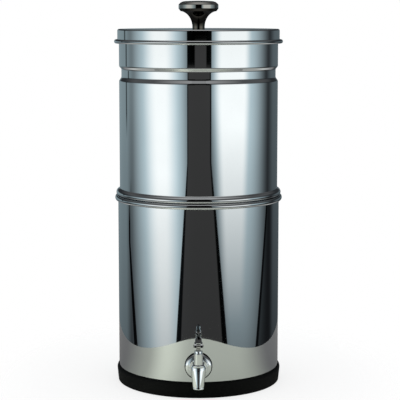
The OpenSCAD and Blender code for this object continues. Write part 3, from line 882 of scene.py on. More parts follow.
@dataclass
class UpperChamber:
    """Upper vessel: a spun steel cup with a bead that it rests on and a groove under the lid.

    The bead's centre lies bead_up above the floor and bead_in inside the wall, its section spans bead_end
    degrees each way, and it ends bead_foot short of the straight wall. The groove's edges are measured
    down from the rim, from the lowest up, and its fillets are those of the wall and of the groove.
    """

    shop: Workshop
    wall_r: float = 106.2
    sheet: float = 0.8
    corner_r: float = 8.0
    bead_r: float = 4.8
    bead_up: float = 20.5
    bead_in: float = 0.1
    bead_foot: float = 0.9
    bead_end: float = 76.0
    groove_depth: float = 3.1
    groove_edges: tuple[float, float, float, float] = (67.4, 62.8, 51.8, 48.2)
    groove_fillets: Point = (3.2, 3.0)
    floor_hole_r: float = 6.3
    floor_hole_segments: int = 48
    segments: int = 320

    def face(self) -> list[Point]:
        """Draws the vessel's outer face.

        Returns:
            Points from the middle of the floor to the rim.
        """
        low, high = span("upper_chamber")
        bead = self.bead_centre
        foot = self.bead_r + self.bead_foot
        soft, tight = self.groove_fillets
        below, start, end, above = (high.z - down for down in self.groove_edges)
        groove_r = self.wall_r - self.groove_depth
        return (rounded([(0, low.z, 0), (self.wall_r, low.z, self.corner_r),
                         (self.wall_r, bead[1] - foot, 0)], 12)
                + arc(bead, (self.bead_r, self.bead_r), -self.bead_end, self.bead_end, 20)
                + rounded([(self.wall_r, bead[1] + foot, 0), (self.wall_r, below, soft),
                           (groove_r, start, tight), (groove_r, end, tight), (self.wall_r, above, soft),
                           (self.wall_r, high.z - self.sheet / 2, 0)], 10))

    @property
    def bead_centre(self) -> Point:
        """Centre of the bead's section."""
        return (self.wall_r - self.bead_in, span("upper_chamber")[0].z + self.bead_up)

    def build(self) -> None:
        """Turns the vessel and drills its floor for the candles and the plugs."""
        outline = sheet_outline(self.face(), self.sheet, Side.LEFT)
        vessel = self.shop.turned("upper_chamber_shell", outline, Slot.STEEL, self.segments)
        low = span("upper_chamber")[0].z
        plugs = span("blanking_plugs")
        head_r = (plugs[1].x - plugs[0].x) / 2
        holes = [sum(span(f"candle_washer_{side}"), Vector()) / 2 for side in ("left", "right")]
        holes += [Vector((0, plugs[0].y + head_r)), Vector((0, plugs[1].y - head_r))]
        cutters = []
        for hole in holes:
            drill = self.shop.turned("drill", bar(self.floor_hole_r, low - OVERSHOOT, low + OVERSHOOT),
                                     Slot.STEEL, self.floor_hole_segments)
            cutters.append(place_mesh(drill, Matrix.Translation((hole.x * MM, hole.y * MM, 0))))
        combine(vessel, cutters, "DIFFERENCE")
        mark_inside(vessel, self.wall_r - self.sheet, low, 1)
        self.shop.fasten(shade(vessel), Body.UPPER, Slot.STEEL, "upper_chamber")


@dataclass
class LowerChamber:
    """Lower vessel: a spun steel cup with a rolled rim and a hole for the tap.

    The rim is rolled through curl_turn. The wall has rings of points at hole_clear above and below the
    tap's axis and at hole_hold times that, which keep the hole's shading off the rest of the wall. The
    drill reaches from drill_reach[0] inside the wall to drill_reach[1] outside it.
    """

    shop: Workshop
    wall_r: float = 108.5
    sheet: float = 0.8
    corner_r: float = 6.0
    curl_axes: Point = (2.45, 3.4)
    curl_turn: Point = (180.0, -110.0)
    hole_r: float = 8.4
    hole_segments: int = 64
    hole_clear: float = 11.0
    hole_hold: float = 1.4
    drill_reach: Point = (15.0, 5.0)
    segments: int = 320

    def face(self) -> list[Point]:
        """Draws the vessel's inner face.

        Returns:
            Points from the middle of the floor over the rolled rim.
        """
        low, high = span("lower_chamber")
        inner = self.wall_r - self.sheet
        floor = low.z + self.sheet
        tap = tap_height()
        rings = [(inner, tap + share * self.hole_clear) for share in (-self.hole_hold, -1, 1, self.hole_hold)]
        curl = (inner + self.curl_axes[0], high.z - self.curl_axes[1])
        return (rounded([(0, floor, 0), (inner, floor, self.corner_r - self.sheet), (*rings[0], 0)], 12)
                + rings[1:] + arc(curl, self.curl_axes, *self.curl_turn, 30))

    def build(self) -> None:
        """Turns the vessel and drills the hole for the tap's shank."""
        outline = sheet_outline(self.face(), self.sheet, Side.RIGHT)
        vessel = self.shop.turned("lower_chamber_shell", outline, Slot.STEEL, self.segments)
        ends = (self.wall_r - self.drill_reach[0], self.wall_r + self.drill_reach[1])
        drill = self.shop.turned("drill", bar(self.hole_r, *ends), Slot.STEEL, self.hole_segments)
        combine(vessel, [place_mesh(drill, facing_front(0.0))], "DIFFERENCE")
        mark_inside(vessel, self.wall_r - self.sheet, span("lower_chamber")[0].z, 1)
        self.shop.fasten(shade(vessel), Body.LOWER, Slot.STEEL, "lower_chamber")


@dataclass
class FootRing:
    """Moulded rubber ring that carries the lower vessel.

    The outline starts and ends on the shelf's inner face, at the two depths of seam below the shelf.
    """

    shop: Workshop
    wall_gap: float = 0.1
    shoulder: Point = (2.6, 4.6)
    shoulder_end: float = 84.0
    draw_in: float = 1.7
    shelf_w: float = 13.0
    edge_r: float = 0.8
    foot_edge_r: float = 1.2
    shelf_edge_r: float = 0.6
    top_edge: float = 0.3
    seam: Point = (1.0, 0.9)

    def build(self) -> None:
        """Turns the ring, with its shelf, drawn-in foot and rounded shoulder."""
        low, high = span("foot_ring")
        shelf = span("lower_chamber")[0].z
        inner_r = high.x - self.shoulder[0]
        shelf_r = inner_r - self.wall_gap - self.shelf_w
        foot_r = high.x - self.draw_in
        base = rounded([(shelf_r, shelf - self.seam[0], 0), (shelf_r, low.z, self.edge_r),
                        (foot_r, low.z, self.foot_edge_r), (high.x, high.z - self.shoulder[1], 0)])
        top = arc((inner_r, high.z - self.shoulder[1]), self.shoulder, 0, self.shoulder_end)
        inside = rounded([(inner_r, high.z - self.top_edge, 0), (inner_r, shelf, self.shelf_edge_r),
                          (shelf_r, shelf, self.shelf_edge_r), (shelf_r, shelf - self.seam[1], 0)])
        ring = self.shop.turned("foot_ring_moulding", base + top + inside, Slot.BLACK_RUBBER, 288, True)
        self.shop.fasten(ring, Body.LOWER, Slot.BLACK_RUBBER, "foot_ring")


@dataclass
class Lid:
    """Spun lid with a rolled lip, and the knob that is screwed to it.

    The sheet rises from the wall to a flat seat of radius flat_r, crown above the wall's top edge, and
    lip_turn is the angle through which the lip is rolled.
    """

    shop: Workshop
    inner_r: float = 107.45
    sheet: float = 0.8
    corner_r: float = 2.2
    crown: float = 0.8
    flat_r: float = 12.65
    flat_fillet: float = 6.0
    lip_axes: Point = (2.575, 2.7)
    lip_turn: Point = (180.0, 470.0)
    lip_lead: float = 0.5
    hole_r: float = 2.9
    screw_edge: float = 0.35
    washer_edge: float = 0.2
    segments: int = 320

    def build(self) -> None:
        """Builds the lid's sheet, the knob, and its screw and washer."""
        low, high = span("lid")
        under = high.z - self.sheet
        lip = (self.inner_r + self.lip_axes[0], low.z + self.lip_axes[1])
        face = (rounded([(self.hole_r, under, 0), (self.flat_r, under, self.flat_fillet),
                         (self.inner_r, under - self.crown, self.corner_r - self.sheet),
                         (self.inner_r, lip[1] + self.lip_lead, 0)])
                + arc(lip, self.lip_axes, *self.lip_turn, 30))
        outline = sheet_outline(face, self.sheet, Side.LEFT)
        sheet = self.shop.turned("lid_shell", outline, Slot.STEEL, self.segments, True)
        mark_inside(sheet, self.inner_r, high.z, -1)
        self.shop.fasten(sheet, Body.LID, Slot.STEEL, "lid")
        Knob(self.shop).build(high.z)
        for node, edge in (("lid_knob_screw", self.screw_edge), ("lid_knob_washer", self.washer_edge)):
            piece = self.shop.copied(node, node + "_turned", Slot.MACHINED, edge)
            self.shop.fasten(piece, Body.LID, Slot.MACHINED, node)


@dataclass
class Knob:
    """Turned knob with a waisted neck in painted shade, a banded rim and a shallow crown.

    Heights are above the lid. The neck flares along an ellipse up to flare_end degrees, whose centre is
    at flare_foot and flare_in inside the rim. The crown is an arc that starts on the circle crown_r.
    """

    shop: Workshop
    neck_r: float = 8.3
    foot_edge: float = 0.3
    flare_foot: float = 1.5
    flare_top: float = 22.6
    flare_in: float = 1.2
    flare_end: float = 99.0
    flare_edge: float = 1.4
    band: Point = (26.0, 31.2)
    band_fillets: Point = (1.2, 0.9)
    chamfer: Point = (1.1, 1.3)
    crown_r: float = 16.5
    crown_gap: Point = (1.0, 0.6)
    crown_turn: Point = (20.0, 88.0)
    crown_dip: float = 0.2
    screw_r: float = 2.55
    screw_depth: float = 14.0

    def build(self, base: float) -> None:
        """Turns the knob and marks its neck for the painted shade.

        Args:
            base: Height of the lid's top.
        """
        rim_r = span("lid_knob")[1].x
        top = span("lid_knob")[1].z - base
        low, high = self.band
        flare = (rim_r - self.flare_in, self.flare_foot)
        axes = (flare[0] - self.neck_r, self.flare_top - self.flare_foot)
        crown = (rim_r - self.crown_r - self.crown_gap[0], top - high - self.crown_gap[1])
        local = ([(0, self.screw_depth), (self.screw_r, self.screw_depth), (self.screw_r, 0),
                  (self.neck_r - self.foot_edge, 0), (self.neck_r, self.foot_edge)]
                 + arc(flare, axes, 180, self.flare_end, 40)
                 + rounded([(flare[0] - self.flare_edge, self.flare_top, 0),
                            (rim_r, low, self.band_fillets[0]), (rim_r, high, self.band_fillets[1]),
                            (rim_r - self.chamfer[0], high + self.chamfer[1], 0)])
                 + arc((self.crown_r, high), crown, *self.crown_turn, 16)
                 + [(self.crown_r / 2, top - self.crown_dip), (0, top)])
        knob = self.shop.turned("lid_knob_turning", [(r, base + z) for r, z in local], Slot.KNOB)
        # The neck below the band is marked for the painted shade.
        mark_faces(knob, "painted_shade", lambda face: face.center.z / MM < base + low)
        self.shop.fasten(knob, Body.LID, Slot.KNOB, "lid_knob")


# ---- Filter candles and plugs ---------------------------------------------------------------


@dataclass(frozen=True)
class Stem:
    """Threaded plastic stem that goes down through the floor from a disc or a head.

    Attributes:
        radius: Radius of its plain part and of the thread's crest.
        pitch: Rise of a turn.
        plain: How far below the disc the plain part ends, and its run-out.
        turns: How far the thread starts above the stem's end, and ends below the disc.
    """

    radius: float = 6.0
    pitch: float = 1.75
    plain: Point = (2.6, 3.2)
    turns: Point = (1.6, 3.4)

    def corners(self, low: float, disc: float, tip: float) -> list[Corner]:
        """Draws the stem.

        Args:
            low: Height of its end.
            disc: Height of the disc's underside.
            tip: Fillet of its end.

        Returns:
            The outline's corners, from the end up to the disc.
        """
        root_r = self.radius - THREAD_DEPTH * self.pitch
        return [(root_r, low, tip), (root_r, disc - self.plain[1], 0), (self.radius, disc - self.plain[0], 0),
                (self.radius, disc, 0)]

    def thread(self, shop: Workshop, piece: bpy.types.Object, low: float, disc: float) -> bpy.types.Object:
        """Winds the thread and joins it to the piece that has the stem.

        Args:
            shop: The workshop.
            piece: The turned piece, still on the Z axis.
            low: Height of the stem's end.
            disc: Height of the disc's underside.

        Returns:
            The piece.
        """
        return join(piece, shop.threaded("ridge", self.radius, low + self.turns[0], disc - self.turns[1],
                                         self.pitch, Slot.PLASTIC))


@dataclass
class Candle:
    """A ceramic filter candle on its plastic mount, with its washer and wing nut.

    The mount's cup stands cup_gap round the shell, and its spigot, a radius and a height, goes up into it.
    """

    shop: Workshop
    side: str
    wall: float = 8.0
    wall_lead: float = 1.0
    shell_fillets: Point = (0.8, 0.5)
    shell_segments: int = 128
    cup_wall: float = 2.0
    cup_gap: float = 0.2
    bore_r: float = 3.0
    spigot: Point = (6.0, 3.0)
    mount_segments: int = 96
    nut_edge: float = 0.7
    stem: Stem = Stem()

    def build(self) -> None:
        """Builds the shell and the threaded mount, and dresses the rest."""
        low, high = span(f"candle_shell_{self.side}")
        radius = (high.x - low.x) / 2
        aside = Matrix.Translation(((high.x + low.x) / 2 * MM, 0, 0))
        dome = (0.0, high.z - radius)
        inner_r, top = radius - self.wall, dome[1] - self.wall_lead
        outline = (arc(dome, (radius, radius), 90, 0, 32)
                   + rounded([(radius, top, 0), (radius, low.z, self.shell_fillets[0]),
                              (inner_r, low.z, self.shell_fillets[1]), (inner_r, top, 0)])
                   + arc(dome, (inner_r, inner_r), 0, 90, 16))
        shell = self.shop.turned(f"candle_shell_{self.side}_fired", outline, Slot.CERAMIC,
                                 self.shell_segments)
        self.shop.fasten(place_mesh(shell, aside), Body.UPPER, Slot.CERAMIC, f"candle_shell_{self.side}")
        self.build_mount(radius + self.cup_gap, aside)
        nut = self.shop.copied(f"candle_wing_nut_{self.side}", f"candle_wing_nut_{self.side}_moulded",
                               Slot.PLASTIC, self.nut_edge)
        self.shop.fasten(nut, Body.UPPER, Slot.PLASTIC, f"candle_wing_nut_{self.side}")
        self.shop.dress(f"candle_core_{self.side}", Slot.CARBON)
        self.shop.dress(f"candle_washer_{self.side}", Slot.GREY_RUBBER)

    def build_mount(self, cup_r: float, aside: Matrix) -> None:
        """Turns the mount and winds the thread of its stem.

        Args:
            cup_r: Inner radius of the cup.
            aside: Move from the vessel's axis to the candle's.
        """
        low, high = span(f"candle_mount_{self.side}")
        seat = span(f"candle_shell_{self.side}")[0].z
        disc = span(f"candle_washer_{self.side}")[1].z
        outer_r = cup_r + self.cup_wall
        spigot_r, spigot_top = self.spigot[0], seat + self.spigot[1]
        outline = rounded([(self.bore_r, low.z, 0), *self.stem.corners(low.z, disc, 0.6),
                           (outer_r, disc, 1.2), (outer_r, high.z, 0.8), (cup_r, high.z, 0.5),
                           (cup_r, seat, 0.4), (spigot_r, seat, 0.4), (spigot_r, spigot_top, 0.5),
                           (self.bore_r, spigot_top, 0)], 4)
        mount = self.shop.turned(f"candle_mount_{self.side}_moulded", outline, Slot.PLASTIC,
                                 self.mount_segments, True)
        mount = place_mesh(self.stem.thread(self.shop, mount, low.z, disc), aside)
        self.shop.fasten(mount, Body.UPPER, Slot.PLASTIC, f"candle_mount_{self.side}")


@dataclass
class BlankingPlugs:
    """The two plugs that close the floor's spare holes, with their washers and nuts."""

    shop: Workshop
    head_r: float = 12.0
    head_dish: float = 0.6
    segments: int = 72
    nut_edge: float = 0.7
    stem: Stem = Stem()

    def build(self) -> None:
        """Turns the threaded plugs, rounds the nuts and dresses the washers."""
        low, high = span("blanking_plugs")
        head = span("blanking_washers")[1].z
        outline = rounded([(0, low.z, 0), *self.stem.corners(low.z, head, 0.8), (self.head_r, head, 0.6),
                           (self.head_r, high.z, 1.4), (self.head_r / 2, high.z, 0),
                           (0, high.z - self.head_dish, 0)], 5)
        halves = []
        for name, y in (("blanking_plugs_moulded", low.y + self.head_r), ("plug", high.y - self.head_r)):
            plug = self.shop.turned(name, outline, Slot.PLASTIC, self.segments)
            plug = self.stem.thread(self.shop, plug, low.z, head)
            halves.append(place_mesh(plug, Matrix.Translation((0, y * MM, 0))))
        self.shop.fasten(join(*halves), Body.UPPER, Slot.PLASTIC, "blanking_plugs")
        nuts = self.shop.copied("blanking_nuts", "blanking_nuts_moulded", Slot.PLASTIC, self.nut_edge)
        self.shop.fasten(nuts, Body.UPPER, Slot.PLASTIC, "blanking_nuts")
        self.shop.dress("blanking_washers", Slot.GREY_RUBBER)


# ---- Tap ------------------------------------------------------------------------------------


def tap_height() -> float:
    """Height of the tap's axis, in millimetres."""
    low, high = span("tap_escutcheon")
    return (low.z + high.z) / 2


def facing_front(start: float) -> Matrix:
    """Move that lays a turned piece along the tap's axis, with its +Z towards the front.

    Args:
        start: Where the piece's own origin lies along Y, in millimetres.

    Returns:
        The matrix, in metres.
    """
    return Matrix.Translation((0, start * MM, tap_height() * MM)) @ Matrix.Rotation(math.pi / 2, 4, "X")


@dataclass
class Tap:
    """Tap with a lever: plated body with its escutcheon, washers, nut, valve and lever.

    The spout is drawn upright and then leant: its mouth lies mouth_out in front of the bonnet's axis and
    mouth_up above the CAD mouth, and its dome is flattened by the share dome_flatter and set dome_back
    behind that axis. Lengths along the tap's axis are measured from the seat on the vessel's wall: those
    of the collar outwards, and shank_plain, which ends the shank's plain part and its run-out, inwards.
    shank_turns says how far the thread starts from the shank's end and ends inside the seat. Joined
    solids and cutters run past each other by lap.
    """

    shop: Workshop
    shank_r: float = 8.0
    shank_pitch: float = 1.5
    shank_tip: float = 0.5
    shank_plain: Point = (2.0, 2.5)
    shank_turns: Point = (1.2, 2.8)
    shank_bore_r: float = 4.5
    shank_segments: int = 64
    barrel_r: float = 8.5
    collar_r: float = 12.25
    collar_end: float = 7.2
    collar_fillets: Point = (0.2, 0.9)
    collar_step: Point = (0.6, 0.5)
    collar_run: float = 0.8
    lap: float = 1.0
    dome_axes: Point = (3.9, 6.0)
    dome_turn: Point = (-9.0, 86.0)
    dome_up: float = 4.5
    dome_flatter: float = 0.19
    dome_back: float = 1.0
    boss_gap: float = 0.08
    lip_r: float = 7.4
    lip_edge: float = 0.4
    lip_h: Point = (0.9, 1.6)
    throat_r: float = 7.25
    throat_up: float = 2.6
    spout_segments: int = 128
    body_crease: float = 28.0
    mouth_r: float = 5.5
    mouth_out: float = 2.5
    mouth_up: float = 1.6
    seat_r: float = 3.2
    web_low: float = 8.4
    seat_low: float = 6.0
    neck_bore_r: float = 5.2
    bore_segments: tuple[int, int] = (48, 64)
    hole_r: float = 12.3
    hole_edge: float = 0.2
    edge_h: float = 1.2
    rose_in: float = 1.0
    rose_turn: Point = (4.0, 76.0)
    rose_segments: int = 160
    bonnet_r: float = 5.7
    bonnet_neck_r: float = 5.15
    nose_r: float = 5.2
    nose_h: float = 3.6
    bonnet_bore_r: float = 4.2
    bonnet_gap: float = 0.05
    bonnet_segments: int = 96
    web_t: float = 2.4
    stem_hole_r: float = 2.0
    spring_r: float = 2.85
    wire_r: float = 0.45
    wire_sides: int = 10
    spring_turns: int = 6
    spring_keep: float = 0.9
    lever_edge: float = 0.45
    pin_edge: float = 0.3
    nut_edge: float = 0.7

    def __post_init__(self) -> None:
        """Takes the tap's lines from the frame."""
        low, high = span("tap_bonnet")
        self.spout_y = (low.y + high.y) / 2
        self.tap_z = tap_height()
        self.seat_y = span("tap_escutcheon")[1].y
        self.mouth_z = span("tap_body")[0].z + self.mouth_up
        self.dome_z = self.tap_z + self.dome_up
        self.shoulder_z = self.dome_z + self.dome_axes[1]
        self.boss_r = self.bonnet_r + self.boss_gap
        self.down = Matrix.Translation((0, self.spout_y * MM, 0))

    def build(self) -> None:
        """Builds every piece of the tap."""
        self.build_body()
        self.build_escutcheon()
        self.build_bonnet()
        self.build_spring()
        for node, name, body, slot, edge in (
                ("tap_lever", "tap_lever_cast", Body.LEVER, Slot.CHROME, self.lever_edge),
                ("tap_lever_pin", "tap_lever_pin_turned", Body.LEVER, Slot.MACHINED, self.pin_edge),
                ("tap_back_nut", "tap_back_nut_turned", Body.LOWER, Slot.MACHINED, self.nut_edge)):
            self.shop.fasten(self.shop.copied(node, name, slot, edge), body, slot, node)
        for node, slot in (("tap_outer_washer", Slot.BLACK_RUBBER), ("tap_inner_washer", Slot.BLACK_RUBBER),
                           ("tap_valve_stem", Slot.MACHINED), ("tap_seat_cup", Slot.SILICONE)):
            self.shop.dress(node, slot)

    def solid(self, outline: list[Point], place: Matrix, segments: int = 96) -> bpy.types.Object:
        """Turns a plated solid and puts it in its place."""
        return place_mesh(self.shop.turned("solid", outline, Slot.CHROME, segments), place)

    def build_body(self) -> None:
        """Joins the turned spout, barrel, collar and shank, drills the bores and adds the thread."""
        along = facing_front(self.seat_y)
        inward = self.seat_y - span("tap_body")[1].y
        reach = self.seat_y - self.spout_y
        body = place_mesh(self.spout(), self.down)
        barrel = self.solid(bar(self.barrel_r, -OVERSHOOT, reach), along)
        collar_top = self.collar_end + self.collar_run
        collar = self.solid(rounded([(0, 0, 0), (self.collar_r, 0, self.collar_fillets[0]),
                                     (self.collar_r, self.collar_end, self.collar_fillets[1]),
                                     (self.barrel_r + self.collar_step[0], self.collar_end, 0),
                                     (self.barrel_r - self.collar_step[1], collar_top, 0),
                                     (0, collar_top, 0)]), along)
        root_r = self.shank_r - THREAD_DEPTH * self.shank_pitch
        plain, runout = self.shank_plain
        shank = self.solid(rounded([(0, inward, 0), (root_r, inward, self.shank_tip), (root_r, -runout, 0),
                                    (self.shank_r, -plain, 0), (self.shank_r, self.lap, 0),
                                    (0, self.lap, 0)]), along, self.shank_segments)
        combine(body, [barrel, collar, shank], "UNION")
        web, seat = self.tap_z - self.web_low, self.tap_z - self.seat_low
        top = self.shoulder_z + self.lap
        across = self.solid(bar(self.shank_bore_r, inward - self.lap, reach), along, self.bore_segments[0])
        upright = self.solid([(0, self.mouth_z - self.lap), (self.mouth_r, self.mouth_z - self.lap),
                              (self.mouth_r, web), (self.seat_r, web), (self.seat_r, seat),
                              (self.neck_bore_r, seat), (self.neck_bore_r, top), (0, top)],
                             Matrix.Identity(4), self.bore_segments[1])
        self.lean_spout(upright, 0.0, 0.0)
        combine(body, [across, place_mesh(upright, self.down)], "DIFFERENCE")
        ridge = self.shop.threaded("ridge", self.shank_r, inward + self.shank_turns[0], -self.shank_turns[1],
                                   self.shank_pitch, Slot.CHROME)
        join(shade(body, self.body_crease), place_mesh(ridge, along))
        self.shop.fasten(shade(body, self.body_crease), Body.LOWER, Slot.CHROME, "tap_body")

    def spout(self) -> bpy.types.Object:
        """Turns the spout with its lip and dome, and leans it.

        Returns:
            The spout, a solid on the Z axis that has no bore yet.
        """
        low = self.mouth_z
        dome = arc((self.boss_r, self.dome_z), self.dome_axes, *self.dome_turn, 22)
        outline = (rounded([(0, low, 0), (self.lip_r - self.lip_edge, low, self.lip_edge),
                            (self.lip_r, low + self.lip_h[0], 0.3), (self.lip_r, low + self.lip_h[1], 0.5),
                            (self.throat_r, low + self.throat_up, 1.2), (*dome[0], 0)], 5)
                   + dome[1:] + [(self.boss_r, self.shoulder_z), (0, self.shoulder_z)])
        spout = self.shop.turned("tap_body_cast", outline, Slot.CHROME, self.spout_segments)
        self.lean_spout(spout, self.dome_flatter, self.dome_back)
        return spout

    def lean_spout(self, piece: bpy.types.Object, flatten: float, back: float) -> None:
        """Leans a turned spout forwards below the tap's axis.

        Args:
            piece: The spout or its bore, still on the Z axis.
            flatten: Share by which the dome is shallower than it is wide.
            back: How far the dome lies behind the spout's axis, in millimetres.
        """
        for vertex in piece.data.vertices:
            z = vertex.co.z / MM
            up = min(max((z - self.mouth_z) / (self.dome_z - self.mouth_z), 0.0), 1.0)
            crown = min(max((z - self.dome_z) / self.dome_axes[1] * 2 - 1, 0.0), 1.0)
            eased = up * (1 - crown)
            shift = back * eased - self.mouth_out * (1 - up)
            vertex.co.y = vertex.co.y * (1 - flatten * eased) + shift * MM

    def build_escutcheon(self) -> None:
        """Turns the domed escutcheon."""
        low, high = span("tap_escutcheon")
        rim_r = (high.z - low.z) / 2
        height = high.y - low.y
        dome = (self.hole_r - self.rose_in, self.edge_h)
        outline = (rounded([(self.hole_r, 0, 0), (rim_r, 0, 0.3), (rim_r, self.edge_h - 0.1, 0)])
                   + arc(dome, (rim_r - dome[0], height - self.edge_h), *self.rose_turn, 16)
                   + [(self.hole_r + self.hole_edge, height), (self.hole_r, height - self.hole_edge)])
        rose = self.shop.turned("tap_escutcheon_spun", outline, Slot.CHROME, self.rose_segments, True)
        place_mesh(rose, facing_front(self.seat_y))
        self.shop.fasten(rose, Body.LOWER, Slot.CHROME, "tap_escutcheon")

    def build_bonnet(self) -> None:
        """Turns the bonnet with its neck, nose and bore."""
        low, high = span("tap_bonnet")
        shoulder = self.shoulder_z + self.bonnet_gap
        nose = high.z - self.nose_h
        web = high.z - self.web_t
        outline = rounded([(self.bonnet_bore_r, low.z, 0), (self.bonnet_neck_r, low.z, 0.3),
                           (self.bonnet_neck_r, shoulder, 0), (self.bonnet_r, shoulder, 0.4),
                           (self.bonnet_r, nose, 0.6), (self.nose_r, nose + 0.4, 0.2),
                           (self.nose_r, high.z, 0.7), (self.stem_hole_r, high.z, 0.3),
                           (self.stem_hole_r, web, 0), (self.bonnet_bore_r, web, 0)], 5)
        bonnet = self.shop.turned("tap_bonnet_turned", outline, Slot.CHROME, self.bonnet_segments, True)
        self.shop.fasten(place_mesh(bonnet, self.down), Body.LOWER, Slot.CHROME, "tap_bonnet")

    def build_spring(self) -> None:
        """Winds the closing spring at the CAD node's length; the real spring shortens as the valve stem
        lifts.
        """
        low, high = span("tap_spring")
        length = high.z - low.z - 2 * self.wire_r
        spring = self.shop.thread.wind(
            "tap_spring_wound", self.spring_r * MM, (low.z + self.wire_r) * MM, (high.z - self.wire_r) * MM,
            length / self.spring_turns * MM, self.wire_r * MM, self.wire_sides,
            self.shop.finishes[Slot.MACHINED])
        place_mesh(spring, self.down)
        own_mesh(spring)
        self.shop.fasten(spring, Body.LOWER, Slot.MACHINED, "tap_spring")


# ---- Studio ---------------------------------------------------------------------------------


@dataclass(frozen=True)
class Panel:
    """A light or dark panel of the studio, at a great distance from the object.

    Azimuth 0 is towards the camera and grows to the right, and every figure is in degrees.

    Attributes:
        name: Name of the panel, which labels its nodes.
        strength: Radiance of a light panel, or the share of light that a flag takes.
        left: Azimuths between which its left edge fades in.
        right: Azimuths between which its right edge fades out.
        low: Elevations between which its lower edge fades in.
        high: Elevations between which its upper edge fades out.
        lean: How far each edge moves outwards for each degree below the turning elevation.
        turning: Elevation below which the edges lean.
        hex_colour: Colour of a light panel.
    """

    name: str
    strength: float
    left: Point
    right: Point
    low: Point = (-91.0, -90.0)
    high: Point = (90.0, 91.0)
    lean: Point = (0.0, 0.0)
    turning: float = -3.25
    hex_colour: str = "#FFFFFF"


ALL_ROUND = {"left": (-200.0, -199.0), "right": (199.0, 200.0)}


